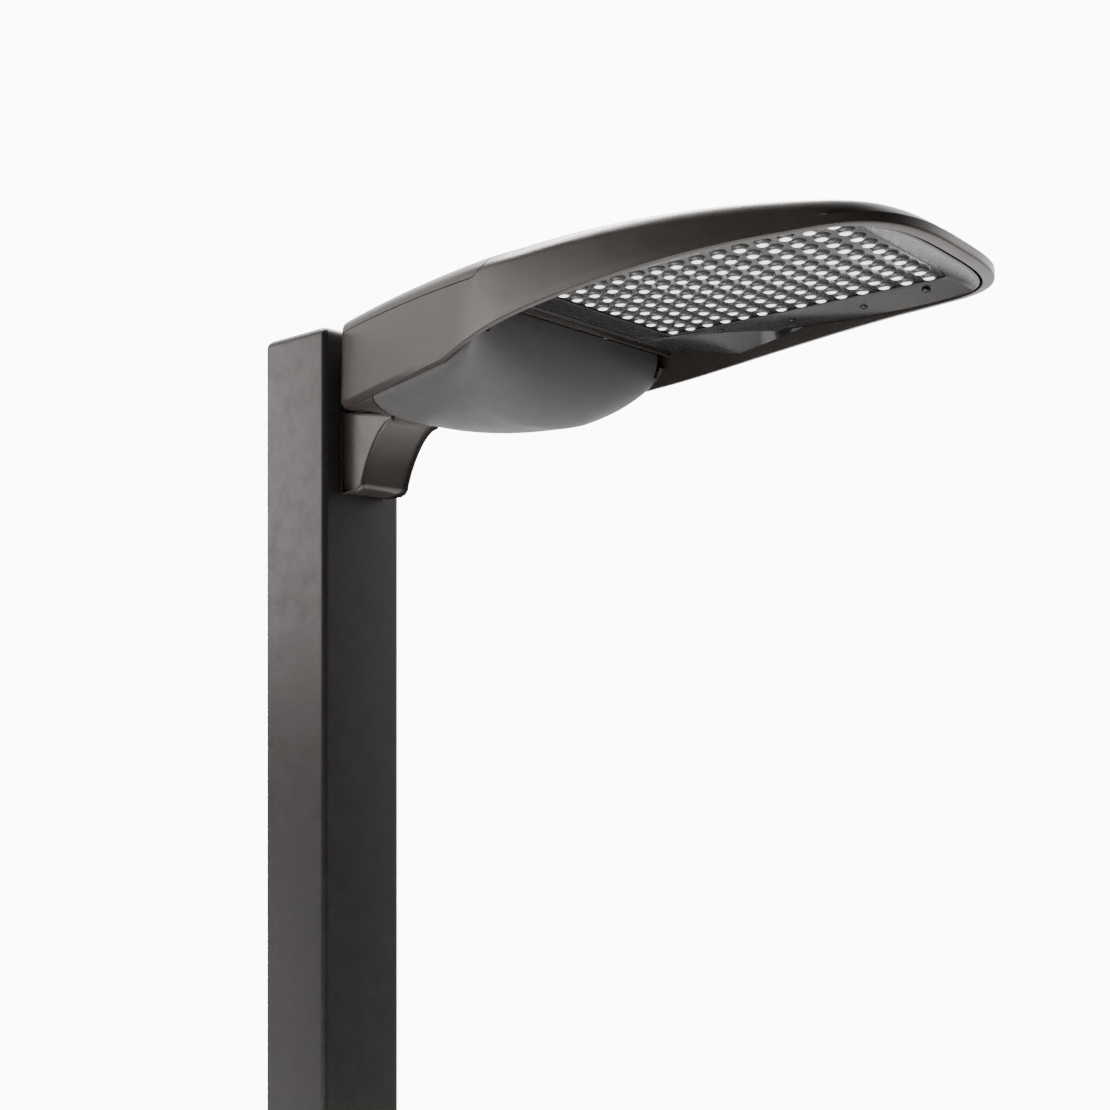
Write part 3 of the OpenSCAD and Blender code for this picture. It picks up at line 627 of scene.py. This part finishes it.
def belly_body(x0, x1, d, ceiling=None, count=44, across=44):
    loops = []
    for k in range(count + 1):
        x = x0 + (x1 - x0) * math.sin(math.radians(90 * k / count)) ** 0.9
        w = inner_w(x) - SIDE_GAP - d
        z = min(-45.5, max(rim_z(x) + 6, belly_edge(x) + 5)) if ceiling is None else ceiling
        loops.append([(x, -w, z), (x, w, z)] + [
            (x, w * math.cos(math.pi * i / across), belly_z(x, math.cos(math.pi * i / across)) + d)
            for i in range(across + 1)])
    return skin(loops)


door = shape("driver_door_casting", belly_body(door_x0, door_x1, 0), TOP)
carve(door, shape("hollow", belly_body(door_x0 + 3, door_x1 - 3, 3, -40), TOP))
pocket = shape("pocket", slab((door_x0 + 0.5, door_x0 + 56), (-15, 15), (-130, -88.4), 0), TOP)
carve(pocket, shape("outer", belly_body(door_x0, door_x1, 0.3), TOP), "INTERSECT")
carve(door, pocket, "UNION")
carve(door, shape("notch", slab((door_x0 - 5, door_x0 + 53), (-12, 12), (-130, -91.4), 0), TOP))
for y in (-SLOT_OUT, -SLOT_IN, SLOT_IN, SLOT_OUT):
    score(door, (0, y, 0), (0, 1, 0))
score(door, (336, 0, 0), (1, 0, 0))
for s in (-1, 1):
    ya, yb = sorted((s * SLOT_IN, s * SLOT_OUT))
    carve(door, shape("slot", slab((336, door_x1 + 2), (ya, yb), (-67, -35), 0.5), TOP))
    ya, yb = sorted((s * 118.4, s * 130))
    carve(door, shape("slot", slab((338, door_x1 + 2), (ya, yb), (-57, -35), 0.5), TOP))
    y = (96, 112) if s > 0 else (-112, -96)
    weld_in(door, rod(6, (hinge_x, y[0], hinge_z), (hinge_x, y[1], hinge_z), 40, 0.8))
    weld_in(door, slab((hinge_x, door_x1 - 3), y, (hinge_z - 5.5, -46.5), 0.6))
for x in (190, 250, 310):
    w = inner_w(x) - SIDE_GAP - 6
    rib = [(w * (i / 14 - 1), belly_z(x, i / 14 - 1) + 2.4) for i in range(29)]
    weld_in(door, skin([[(s, y, z) for y, z in rib] + [(s, y, z + 5) for y, z in reversed(rib)]
                        for s in (x - 1.2, x + 1.2)]))
finish_piece(door, door_coat_painted_light, "driver_door", ["driver_door"], 40)

# %% [markdown]
# ## Arm
# The short arm is one casting: a block against the pole whose front sweeps up in a cove to carry the
# luminaire, and a saddle that closes the belly behind the door. The side view is drawn once and pushed
# across the width; shrinking it towards both sides rounds the long edges.

# %% Arm casting
arm_low = limits("arm_bracket")[0]
arm_x0, arm_z0 = arm_low[0], arm_low[2] - TOP
ARM_HALF = 32.0
ARM_EDGE = 3.5
COVE_X0, COVE_Z0, COVE_X1, COVE_Z1 = 89.0, arm_z0 + 10.5, door_x0 - 3, -102.0


def cove(u):
    return 0.6 * (1 - math.sqrt(max(0.0, 1 - u * u))) + 0.4 * u


side_view = [(arm_x0, arm_z0)]
side_view += [(75 + 14 * math.sin(math.radians(9 * k)), COVE_Z0 - 10.5 * math.cos(math.radians(9 * k)))
              for k in range(11)]
side_view += [(COVE_X0 + (COVE_X1 - COVE_X0) * cove(k / 24), COVE_Z0 + (COVE_Z1 - COVE_Z0) * k / 24)
              for k in range(1, 25)]
side_view += [(COVE_X1, -94), (arm_x0, -83)]


def pull_in(points, d):
    """A side view moved inwards by d, with its back edge kept on the pole."""
    out, n = [], len(points)
    for i, (x, z) in enumerate(points):
        (ax, az), (bx, bz) = points[i - 1], points[(i + 1) % n]
        tx, tz = bx - ax, bz - az
        size = math.hypot(tx, tz) or 1
        out.append((max(arm_x0, x - d * tz / size), z + d * tx / size))
    return out


loops = []
for s in (-1, 1):
    for k in (range(6) if s < 0 else range(5, -1, -1)):
        a = math.radians(18 * k)
        loops.append([(x, s * (ARM_HALF - ARM_EDGE * (1 - math.sin(a))), z)
                      for x, z in pull_in(side_view, ARM_EDGE * (1 - math.cos(a)))])
arm = shape("arm_casting", skin(loops), TOP)
carve(arm, shape("pocket", slab((arm_x0 + 8, 84), (-26, 26), (-160, -80), 2), TOP))
saddle = shape("saddle", belly_body(x_rear + 9, door_x0 - 2.4, 0, None, 20), TOP)
carve(saddle, shape("hollow", belly_body(x_rear + 12.4, door_x0, 3.4, -60, 20), TOP))
join_in(arm, saddle)
finish_piece(arm, bronze_coat, "root", ["arm_bracket"], 40)

# %% [markdown]
# ## Pole, cap and foot
# The pole is a rolled square tube, so its corners are round. The cap's top edge is a quarter round, and
# the foot cover slopes in to the pole. Each is a stack of rounded squares; only the width, the corner
# and the height change from one to the next.

# %% Rounded squares
def rounded_square(w, r, z, steps=9):
    r = max(r, 0.3)
    c = w / 2 - r
    out = []
    for q, (sx, sy) in enumerate(((1, 1), (-1, 1), (-1, -1), (1, -1))):
        for k in range(steps + 1):
            a = math.radians(90 * q + 90 * k / steps)
            out.append((sx * c + r * math.cos(a), sy * c + r * math.sin(a), z))
    return out


TUBE_WALL = 3.2
CORNER = 6
heights = [pole_low[2] + (pole_high[2] - pole_low[2]) * k / 24 for k in range(25)]
outer = [rounded_square(pole_w, CORNER, z) for z in heights]
bore = [rounded_square(pole_w - 2 * TUBE_WALL, CORNER - TUBE_WALL, z) for z in reversed(heights)]
tube = shape("pole_tube_steel", skin(outer + bore, close=True, caps=False))
hand_low, hand_high = limits("handhole_cover")
hand_z = (hand_low[2] + hand_high[2]) / 2
HAND_LAP = 14
hand_w, hand_l = hand_high[0] - hand_low[0] - HAND_LAP, hand_high[2] - hand_low[2] - HAND_LAP


def obround(w, length, y, steps=20):
    r, out = w / 2, []
    for k in range(2 * steps + 2):
        a = math.pi * (k if k <= steps else k - 1) / steps
        up = 1 if k <= steps else -1
        out.append((r * math.cos(a), y, hand_z + up * (length / 2 - r) + r * math.sin(a)))
    return out


face = pole_low[1]
carve(tube, shape("hole", skin([obround(hand_w, hand_l, y) for y in (face - 3, face + 8)])))
BOLT_HOLE, WIRE_HOLE = 6.5, 12
for z, r in ((TOP - 96, BOLT_HOLE), (TOP - 146, BOLT_HOLE), (TOP - 121, WIRE_HOLE)):
    carve(tube, shape("hole", rod(r, (pole_w / 2 - 8, 0, z), (pole_w / 2 + 3, 0, z))))
finish_piece(tube, pole_coat, "root", ["pole_tube"], 30)

cap_loops = [rounded_square(pole_w - 7.4, 3, cap_low[2]), rounded_square(pole_w - 7.4, 3, TOP - 15.6),
             rounded_square(pole_w - 1.2, 5.4, TOP - 15.4), rounded_square(pole_w - 0.2, 5.9, TOP - 15.0),
             rounded_square(pole_w, 6, TOP - 14.2)]
CAP_ROUND = 9
for k in range(11):
    a = math.radians(9 * k)
    d = CAP_ROUND * (1 - math.cos(a))
    z = cap_high[2] - CAP_ROUND + CAP_ROUND * math.sin(a)
    cap_loops.append(rounded_square(pole_w - 2 * d, CORNER - d * 0.45, z))
for s in (0.75, 0.45, 0.15):
    cap_loops.append([(x * s, y * s, z) for x, y, z in cap_loops[-1]])
finish_piece(shape("pole_cap_casting", skin(cap_loops)), pole_coat, "root", ["pole_cap"], 40)

foot_low, foot_high = limits("base_cover")
foot_h = foot_high[2]
foot_w = foot_high[0] - foot_low[0]
foot_loops = [rounded_square(foot_w - 6, 11, 0), rounded_square(foot_w - 1.5, 13.5, 0)]
foot_loops += [rounded_square(foot_w - 0.4, 13.8, 0.5), rounded_square(foot_w, 14, 1.4)]
shoulder = foot_h - 26
for k in range(7):
    t = k / 6
    foot_loops.append(rounded_square(foot_w - 14 * t * t, 14, shoulder - 7 * (1 - t) + 1.3 * t))
neck = pole_w + 26
foot_loops += [rounded_square(foot_w - 14 + (neck - foot_w + 14) * t, 14 - 4 * t, shoulder + 1.3 + 23 * t)
               for t in (0.15, 0.5, 0.85, 0.97)]
foot_loops += [rounded_square(neck - 3, 9, foot_h - 0.6), rounded_square(neck - 6, 8, foot_h),
               rounded_square(pole_w + 4, 7, foot_h), rounded_square(pole_w + 3, 7, foot_h - 0.5),
               rounded_square(pole_w + 3, 7, foot_h - 4.5), rounded_square(neck - 8, 8, foot_h - 5),
               rounded_square(foot_w - 7, 11, shoulder - 3.5), rounded_square(foot_w - 6, 11, shoulder - 6)]
finish_piece(shape("base_cover_casting", skin(foot_loops, close=True, caps=False)), pole_coat, "base_cover",
             ["base_cover"], 40)

plate = []
front, back = hand_low[1], hand_high[1]
for y, d in ((back, 0.2), (back - 0.3, 0), (front + 1.6, 0), (front + 0.9, 0.2), (front + 0.35, 0.7),
             (front, 1.6), (front, 12)):
    plate.append(obround(hand_w + HAND_LAP - 2 * d, hand_l + HAND_LAP - 2 * d, y))
finish_piece(shape("handhole_cover_plate", skin(plate)), pole_coat, "handhole_cover",
             ["handhole_cover"], 40)

# %% [markdown]
# ## Light frame
# The frame is a pressed sheet round the lens window. Outside the window it runs flat to its edge, bends
# down at the rear corners into a dark skirt against the housing's wall, and follows the rising rim to
# the nose. It is one ring of loops, each with a point for every point of the outline.

# %% Frame ring
panel_low, panel_high = limits("lens_panel")
deck_z = limits("led_board")[0][2] - TOP - 2.1
mid_x = (panel_low[0] + panel_high[0]) / 2
half_l = (panel_high[0] - panel_low[0]) / 2
half_b = panel_high[1]
deck_x0 = limits("light_frame")[0][0]
WINDOW_LAP = 1.8
ring_plan = [(x, y) for x, y in inset(plan, WALL + 1.9, WALL + 9) if x > deck_x0 + 3]
rear_w = half_w(deck_x0) - WALL - 1.9
ring_plan += [(deck_x0, rear_w * (k / 24 - 1)) for k in range(49)]


def face_half_w(x):
    return follow(x, ((357, 84), (389, 92), (411, 99), (441, 114), (468, 127), (500, 150)))


def skirt_z(x):
    return follow(x, ((372, -42), (430, -54), (500, frame_z(500) - 0.4), (640, frame_z(640) - 0.4)))


def window(x, y, grow=0.0):
    vx, vy = x - mid_x, y
    a, b = half_l - WINDOW_LAP + grow, half_b - WINDOW_LAP + grow
    k = (abs(vx / a) ** 30 + abs(vy / b) ** 30) ** (-1 / 30)
    return mid_x + k * vx, k * vy


def frame_edge(x, y, give=0.0):
    ex, ey = x + 0.012 * (mid_x - x), 0.988 * y
    w = face_half_w(ex) - give
    if x < deck_x0 + 1:
        return ex, y * w / half_w(deck_x0)
    return ex, max(-w, min(w, ey))


def ring_loop(course, z):
    return [(*course(x, y), z(x)) for x, y in ring_plan]


frame_ring = skin([
    ring_loop(lambda x, y: (x, y), skirt_z),
    ring_loop(lambda x, y: (x, y), lambda x: skirt_z(x) + 2.5),
    ring_loop(frame_edge, lambda x: frame_z(x) + 2),
    ring_loop(window, lambda x: deck_z - 0.05),
    ring_loop(window, lambda x: deck_z - 1.5),
    ring_loop(lambda x, y: window(x, y, 0.8), lambda x: deck_z - 2.2),
    ring_loop(lambda x, y: window(x, y, 5), lambda x: deck_z - 2.2 + 0.12 * (frame_z(x) - deck_z + 2.2)),
    ring_loop(lambda x, y: frame_edge(x, y, 2.5), lambda x: frame_z(x) + 0.05),
    ring_loop(frame_edge, lambda x: frame_z(x) - 0.5),
], close=True, caps=False)
finish_piece(shape("light_frame_sheet", frame_ring, TOP), plate_coat, "root",
             ["light_frame"], 26)

# %% [markdown]
# ## Lenses
# The optic is one moulded sheet with a dome over every LED. The domes stand on a regular grid, so a
# Geometry Nodes tree makes them: a grid of points, one small dome on each, made real at the end. The
# bright, glowing heart of each dome is a painted highlight, and a pale ring near each dome's edge is a
# painted rim highlight; the material finds both from the distance to the nearest grid point, worked
# out from Object coordinates.

# %% Lens material
ROWS, COLUMNS = 14, 10
LENS_MARGIN = 8
PITCH_X = (2 * half_l - LENS_MARGIN) / ROWS
PITCH_Y = (2 * half_b - LENS_MARGIN) / COLUMNS
lens_x0 = mid_x - (ROWS - 1) / 2 * PITCH_X


def ramp(tree, value, stops):
    node = tree.nodes.new("ShaderNodeValToRGB")
    tree.links.new(value, node.inputs["Fac"])
    marks = node.color_ramp.elements
    while len(marks) < len(stops):
        marks.new(0.5)
    for mark, (at, tone) in zip(marks, stops):
        mark.position = at
        mark.color = (*tone, 1) if isinstance(tone, tuple) else (tone, tone, tone, 1)
    return node.outputs["Color"]


cell_group, g_in, g_out = new_group("lens_cell", [
    ("Vector", VECTOR, None), ("First", VECTOR, (0, 0, 0)), ("Pitch", VECTOR, (1, 1, 1)),
    ("Size", FLOAT, 1.0)], [("Distance", FLOAT)])
shift = add_vector_math(cell_group, "SUBTRACT", g_in["Vector"], g_in["First"])
cells = add_vector_math(cell_group, "DIVIDE", shift, g_in["Pitch"])
parts = cell_group.nodes.new("ShaderNodeSeparateXYZ")
cell_group.links.new(cells, parts.inputs[0])
pitches = cell_group.nodes.new("ShaderNodeSeparateXYZ")
cell_group.links.new(g_in["Pitch"], pitches.inputs[0])
offs = []
for axis in ("X", "Y"):
    v = parts.outputs[axis]
    off = add_math(cell_group, "SUBTRACT", v, add_math(cell_group, "ROUND", v))
    offs.append(add_math(cell_group, "MULTIPLY", off, pitches.outputs[axis]))
squares = add_math(cell_group, "MULTIPLY_ADD", offs[1], add_math(cell_group, "MULTIPLY", offs[1], 1.25),
                   add_math(cell_group, "MULTIPLY", offs[0], offs[0]))
distance = add_math(cell_group, "DIVIDE", add_math(cell_group, "SQRT", squares), g_in["Size"])
cell_group.links.new(distance, g_out["Distance"])

optic = bpy.data.materials.new("lens_optic")
optic.use_nodes = True
tree = optic.node_tree
shader = tree.nodes["Principled BSDF"]
where = tree.nodes.new("ShaderNodeTexCoord").outputs["Object"]
cell = add_group(tree, cell_group, where, First=(lens_x0 * MM, PITCH_Y / 2 * MM, 0),
                 Pitch=(PITCH_X * MM, PITCH_Y * MM, 1), Size=8.0 * MM)
waver = add_noise(tree, where, 160.0, 2.0)
away = add_math(tree, "MULTIPLY_ADD", waver, 0.16, add_math(tree, "ADD", cell["Distance"], -0.08))
# Painted highlight: the white core, which also glows through the emission below, and the pale ring at 0.90
# stand for light caught in each dome.
tree.links.new(ramp(tree, away, [(0.0, (1.0, 0.99, 0.96)), (0.50, (0.93, 0.92, 0.90)), (0.60, 0.10),
                                 (0.74, 0.035), (0.90, 0.16), (1.0, 0.075)]), shader.inputs["Base Color"])
tree.links.new(ramp(tree, away, [(0.0, 1.0), (0.46, 0.85), (0.58, 0.0)]), shader.inputs["Emission Color"])
shader.inputs["Emission Strength"].default_value = 2.2
tree.links.new(add_range(tree, waver, 0.3, 0.7, 0.06, 0.16), shader.inputs["Roughness"])
shader.inputs["Coat Weight"].default_value = 0.4
shader.inputs["Coat Roughness"].default_value = 0.06
add_relief(tree, add_noise(tree, where, 420.0, 1.0), 0.25, 0.6 * MM)
print(f"lens pitch {PITCH_X:.1f} by {PITCH_Y:.1f} mm")

# %% Lens sheet by Geometry Nodes
def new_tree(name, sockets):
    tree = bpy.data.node_groups.new(name, "GeometryNodeTree")
    tree.interface.new_socket(name="Geometry", in_out="INPUT", socket_type="NodeSocketGeometry")
    for label, kind, value in sockets:
        tree.interface.new_socket(name=label, in_out="INPUT", socket_type=kind).default_value = value
    tree.interface.new_socket(name="Geometry", in_out="OUTPUT", socket_type="NodeSocketGeometry")
    return tree, tree.nodes.new("NodeGroupInput").outputs, tree.nodes.new("NodeGroupOutput").inputs


def geo(tree, kind, links=(), **values):
    node = tree.nodes.new(kind)
    for key, value in values.items():
        setattr(node, key, value)
    for label, source in links:
        socket = node.inputs[label]
        if hasattr(source, "node"):
            tree.links.new(source, socket)
        else:
            socket.default_value = source
    return node


def end_tree(tree, made, material, g_out):
    """A tree's last steps: what it made becomes real mesh and takes its material."""
    real = geo(tree, "GeometryNodeRealizeInstances", [("Geometry", made)])
    dressed = geo(tree, "GeometryNodeSetMaterial", [("Geometry", real.outputs[0]), ("Material", material)])
    tree.links.new(dressed.outputs[0], g_out[0])


def run_tree(obj, tree, **settings):
    """Sets the tree's named inputs by identifier, and keeps the real mesh."""
    mod = obj.modifiers.new("nodes", "NODES")
    mod.node_group = tree
    for item in tree.interface.items_tree:
        label = item.name.replace(" ", "_")
        if item.item_type == "SOCKET" and item.in_out == "INPUT" and label in settings:
            mod[item.identifier] = settings[label]
    freeze(obj)


tree, g_in, g_out = new_tree("lens_domes", [
    ("Rows", "NodeSocketInt", 4), ("Columns", "NodeSocketInt", 4), ("Length", FLOAT, 0.1),
    ("Breadth", FLOAT, 0.1), ("Dome size", VECTOR, (0.007, 0.007, 0.004)), ("Centre", VECTOR, (0, 0, 0)),
    ("Optic", "NodeSocketMaterial", None)])
grid = geo(tree, "GeometryNodeMeshGrid", [
    ("Size X", g_in["Length"]), ("Size Y", g_in["Breadth"]),
    ("Vertices X", g_in["Rows"]), ("Vertices Y", g_in["Columns"])])
ball = geo(tree, "GeometryNodeMeshUVSphere", [("Segments", 16), ("Rings", 8), ("Radius", 1.0)])
dome = geo(tree, "GeometryNodeTransform", [
    ("Geometry", ball.outputs["Mesh"]), ("Scale", g_in["Dome size"])])
smooth = geo(tree, "GeometryNodeSetShadeSmooth", [("Geometry", dome.outputs["Geometry"])])
spread = geo(tree, "GeometryNodeInstanceOnPoints", [
    ("Points", grid.outputs["Mesh"]), ("Instance", smooth.outputs["Geometry"])])
moved = geo(tree, "GeometryNodeTransform", [
    ("Geometry", spread.outputs["Instances"]), ("Translation", g_in["Centre"])])
both = geo(tree, "GeometryNodeJoinGeometry")
tree.links.new(moved.outputs["Geometry"], both.inputs[0])
tree.links.new(g_in["Geometry"], both.inputs[0])
end_tree(tree, both.outputs[0], g_in["Optic"], g_out)

sheet = shape("lens_sheet", slab((mid_x - half_l, mid_x + half_l), (-half_b, half_b),
                                 (deck_z, deck_z + 2), 0.4), TOP)
lens_drop = TOP + deck_z - panel_low[2]
run_tree(sheet, tree, Rows=ROWS, Columns=COLUMNS, Length=(ROWS - 1) * PITCH_X * MM,
         Breadth=(COLUMNS - 1) * PITCH_Y * MM, Dome_size=(7.0 * MM, 6.8 * MM, lens_drop * MM),
         Centre=(mid_x * MM, 0, (TOP + deck_z) * MM), Optic=optic)
finish_piece(sheet, optic, "root", ["lens_panel"], 60)

# %% [markdown]
# ## Screws
# All screws have the same low round head with a hexagon socket, in different sizes. One tree makes the
# head on every point of a carrier mesh and turns it to face the way that the point's own attribute says,
# so a few points are enough to place a whole set.

# %% Screw tree
tree, g_in, g_out = new_tree("screw_heads", [
    ("Head radius", FLOAT, 0.004), ("Head height", FLOAT, 0.002), ("Shank radius", FLOAT, 0.002),
    ("Shank length", FLOAT, 0.01), ("Steel", "NodeSocketMaterial", None)])


def times(source, factor):
    return add_math(tree, "MULTIPLY", source, factor)


def lifted(source, z):
    at = geo(tree, "ShaderNodeCombineXYZ", [("Z", z)])
    return geo(tree, "GeometryNodeTransform", [
        ("Geometry", source), ("Translation", at.outputs[0])]).outputs[0]


radius, tall = g_in["Head radius"], g_in["Head height"]
foot = geo(tree, "GeometryNodeMeshCone", [
    ("Vertices", 24), ("Radius Bottom", radius), ("Depth", times(tall, 0.62)),
    ("Radius Top", times(radius, 0.98))]).outputs["Mesh"]
crown = geo(tree, "GeometryNodeMeshCone", [
    ("Vertices", 24), ("Radius Bottom", times(radius, 0.98)), ("Depth", times(tall, 0.38)),
    ("Radius Top", times(radius, 0.82))]).outputs["Mesh"]
shank = geo(tree, "GeometryNodeMeshCylinder", [
    ("Vertices", 16), ("Radius", g_in["Shank radius"]),
    ("Depth", g_in["Shank length"])]).outputs["Mesh"]
key = geo(tree, "GeometryNodeMeshCylinder", [
    ("Vertices", 6), ("Radius", times(radius, 0.5)), ("Depth", tall)]).outputs["Mesh"]
body = geo(tree, "GeometryNodeJoinGeometry")
for part in (foot, lifted(crown, times(tall, 0.62)), lifted(shank, times(g_in["Shank length"], -0.5))):
    tree.links.new(part, body.inputs[0])
drive = geo(tree, "GeometryNodeMeshBoolean", operation="DIFFERENCE")
tree.links.new(body.outputs[0], drive.inputs[0])
tree.links.new(lifted(key, times(tall, 0.95)), drive.inputs[1])
way = geo(tree, "GeometryNodeInputNamedAttribute", [("Name", "out")], data_type="FLOAT_VECTOR")
turn = geo(tree, "FunctionNodeAlignRotationToVector", [("Vector", way.outputs["Attribute"])], axis="Z")
set_out = geo(tree, "GeometryNodeInstanceOnPoints", [
    ("Points", g_in["Geometry"]), ("Instance", drive.outputs[0]), ("Rotation", turn.outputs[0])])
end_tree(tree, set_out.outputs["Instances"], g_in["Steel"], g_out)
screw_tree = tree


def screws(name, places, size, body, node, steel=stainless):
    """places: (x, y, z, way out); size: head radius, height, shank radius, length."""
    mesh = bpy.data.meshes.new(name)
    mesh.from_pydata([(x * MM, y * MM, z * MM) for x, y, z, _ in places], [], [])
    ways = mesh.attributes.new("out", "FLOAT_VECTOR", "POINT")
    for i, (_, _, _, way) in enumerate(places):
        ways.data[i].vector = way
    obj = place(name, mesh)
    r, h, sr, sl = (v * MM for v in size)
    run_tree(obj, screw_tree, Head_radius=r, Head_height=h, Shank_radius=sr, Shank_length=sl, Steel=steel)
    finish_piece(obj, steel, body, [node], 30)


def frame_face(x, y):
    w = min(face_half_w(x), inner_w(x))
    b = half_b - WINDOW_LAP
    u = (abs(y) - b) / (w - b)
    return (deck_z - 2.2) * (1 - u) + frame_z(x) * u


DOWN, UP = (0, 0, -1), (0, 0, 1)
screws("frame_screw_set", [(x, s * y, TOP + frame_face(x, y) + 0.4, DOWN)
                           for x, y in ((432, 99), (500, 108), (570, 104), (628, 95)) for s in (-1, 1)],
       (3.4, 1.9, 1.9, 6), "root", "frame_screws", steel=black_steel)
screws("top_cover_screws", [(x, 0, TOP + top_z(x, 0) - 0.6, UP) for x in (84, 330)], (5, 2.1, 2.4, 10),
       "top_cover", "cover_screws")
screws("base_cover_screw_pair", [(0, s * foot_w / 2, 14, (0, s, 0)) for s in (-1, 1)], (5, 2.9, 2.3, 10),
       "base_cover", "base_cover_screws")
screws("handhole_screw_pair", [(0, front, hand_z + s * 48, (0, -1, 0)) for s in (-1, 1)], (5.4, 2.9, 2.4, 12),
       "handhole_cover", "handhole_screws")
screws("tray_screw_set", [(x, s * (inner_w(x) - 12), TOP - 39, UP) for x in (150, 322) for s in (-1, 1)],
       (4.4, 2.8, 2.4, 6), "root", "tray_screws")
screws("saddle_screw_set", [(x, s * (inner_w(x) - 7), TOP - 60, UP) for x in (90, 122) for s in (-1, 1)],
       (4.4, 3.3, 2.4, 20), "root", "saddle_screws")

# %% [markdown]
# ## Latch and the parts in the driver bay
# The latch is a small black slide with a finger bar. The driver is a boxed power supply with end lids
# and fixing ears. The rest of the bay's parts keep their measured shapes and only get their finishes.

# %% Latch and driver
latch_low, latch_high = limits("door_latch")
lx0, lx1, lz0, lz1 = latch_low[0], latch_high[0], latch_low[2] - TOP, latch_high[2] - TOP
latch = shape("door_latch_slide", slab((lx0, lx1), (-11, 11), (lz1 - 2.6, lz1), 0.6, 3), TOP)
weld_in(latch, slab((146, 148), (-10, 10), (lz0, lz1 - 1), 0.7, 3))
for k in range(5):
    weld_in(latch, slab((151 + 3 * k, 152.4 + 3 * k), (-8, 8), (lz1 - 3.1, lz1 - 2.2), 0.3))
finish_piece(latch, black_plastic, "door_latch", ["door_latch"], 40)

case_low, case_high = limits("led_driver")
z0, z1 = case_low[2] - TOP, case_high[2] - TOP
driver = shape("led_driver_case", slab((186, 310), (-51, 7), (z0 + 0.4, z1 - 0.2), 2.2, 3), TOP)
for x in ((180, 188), (308, 316)):
    weld_in(driver, slab(x, (-52, 8), (z0, z1), 1.6, 3))
weld_in(driver, slab((case_low[0], case_high[0]), (-40, -4), (z1 - 2.5, z1), 0.5))
for k in range(11):
    weld_in(driver, slab((198 + 10 * k, 200.5 + 10 * k), (-47, 3), (z0, z0 + 1.2), 0.35))
finish_piece(driver, driver_case, "root", ["led_driver"], 40)

# %% Finishes for the measured nodes
dress = {
    "base_plate": pole_coat, "handhole_frame": pole_coat, "ground_lug": brass, "arm_gasket": rubber,
    "arm_bolts": zinc, "arm_washers": zinc, "nut_plate": zinc, "wire_grommet": rubber, "top_gasket": rubber,
    "door_gasket": rubber, "hinge_pins": stainless, "bulkhead_gland": black_plastic, "driver_tray": zinc,
    "surge_protector": white_plastic, "terminal_block": white_plastic, "led_harness": red_lead,
    "heat_spreader": bare_aluminium, "led_board": board_white, "lens_gasket": rubber}
for name, material in dress.items():
    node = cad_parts[name]
    node.data.materials.clear()
    node.data.materials.append(material)
shown = [n for n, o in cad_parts.items() if not o.hide_render and n not in dress]
print("dressed", len(dress), "nodes; still bare:", shown)

# %% [markdown]
# ## Room, light and camera
# The room is a pale floor and a surround that is brighter behind and above the luminaire; the camera
# itself sees it as plain white. A large soft light stands to the left of the camera, and a long one hangs
# over the luminaire for the bright top edge. A weak one below stands for the light that a pale floor
# throws back, and another washes the pole. The camera looks level from just below the luminaire.

# %% Floor, lights and camera
floor_mesh = bpy.data.meshes.new("floor")
floor_mesh.from_pydata([(-4, -4, 0), (4, -4, 0), (4, 4, 0), (-4, 4, 0)], [], [(0, 1, 2, 3)])
floor = place("floor", floor_mesh)
floor.data.materials.append(finish("pale_floor", (0.80, 0.80, 0.79), (0.86, 0.86, 0.85), (0.6, 0.8),
                                   bump=0.1))

world = bpy.data.worlds.new("studio")
bpy.context.scene.world = world
world.use_nodes = True
tree = world.node_tree
surround = tree.nodes["Background"]
surround.inputs["Color"].default_value = (1.0, 0.985, 0.975, 1)
BRIGHT_SIDE = (-0.30, 0.75, 0.55)
way = tree.nodes.new("ShaderNodeTexCoord").outputs["Generated"]
facing = add_vector_math(tree, "DOT_PRODUCT", way, BRIGHT_SIDE)
share = add_math(tree, "POWER", add_range(tree, facing, -0.1, 0.9), 2.2)
tree.links.new(add_math(tree, "MULTIPLY_ADD", share, 3.2, 0.035), surround.inputs["Strength"])
seen = tree.nodes.new("ShaderNodeBackground")
seen.inputs["Color"].default_value = (1, 1, 1, 1)
seen.inputs["Strength"].default_value = 11.0
path = tree.nodes.new("ShaderNodeLightPath")
mix = tree.nodes.new("ShaderNodeMixShader")
tree.links.new(path.outputs["Is Camera Ray"], mix.inputs[0])
tree.links.new(surround.outputs[0], mix.inputs[1])
tree.links.new(seen.outputs[0], mix.inputs[2])
tree.links.new(mix.outputs[0], tree.nodes["World Output"].inputs["Surface"])


def soft_light(name, at, target, size, power, tone):
    data = bpy.data.lights.new(name, "AREA")
    data.shape = "RECTANGLE"
    data.size, data.size_y = size
    data.energy = power
    data.color = tone
    obj = place(name, data)
    obj.location = at
    obj.rotation_euler = (Vector(target) - Vector(at)).to_track_quat("-Z", "Y").to_euler()


head = (0.30, 0.0, TOP * MM - 0.05)
soft_light("key_left", (-2.18, -2.2, TOP * MM + 0.4), head, (3.0, 1.6), 56, (1.0, 0.95, 0.935))
soft_light("edge_strip", (-0.85, 0.6, TOP * MM + 2.1), head, (3.2, 0.7), 210, (1.0, 0.96, 0.945))
soft_light("belly_fill", (0.1, -1.15, TOP * MM - 2.1), (0.25, 0, TOP * MM), (1.7, 1.5), 24,
           (0.97, 0.98, 1.0))
soft_light("pole_wash", (-2.2, -1.5, 1.6), (0, 0, 1.8), (1.4, 2.4), 9, (1.0, 0.985, 0.98))

camera_data = bpy.data.cameras.new("camera")
camera_data.lens = 38.95
camera_data.sensor_width = 36
camera_data.shift_y = 0.082
camera = place("camera", camera_data)
camera.location = (1.0361, -0.8143, TOP * MM - 0.3243)
camera.rotation_euler = (math.radians(90), 0, math.radians(41.34))
bpy.context.scene.camera = camera
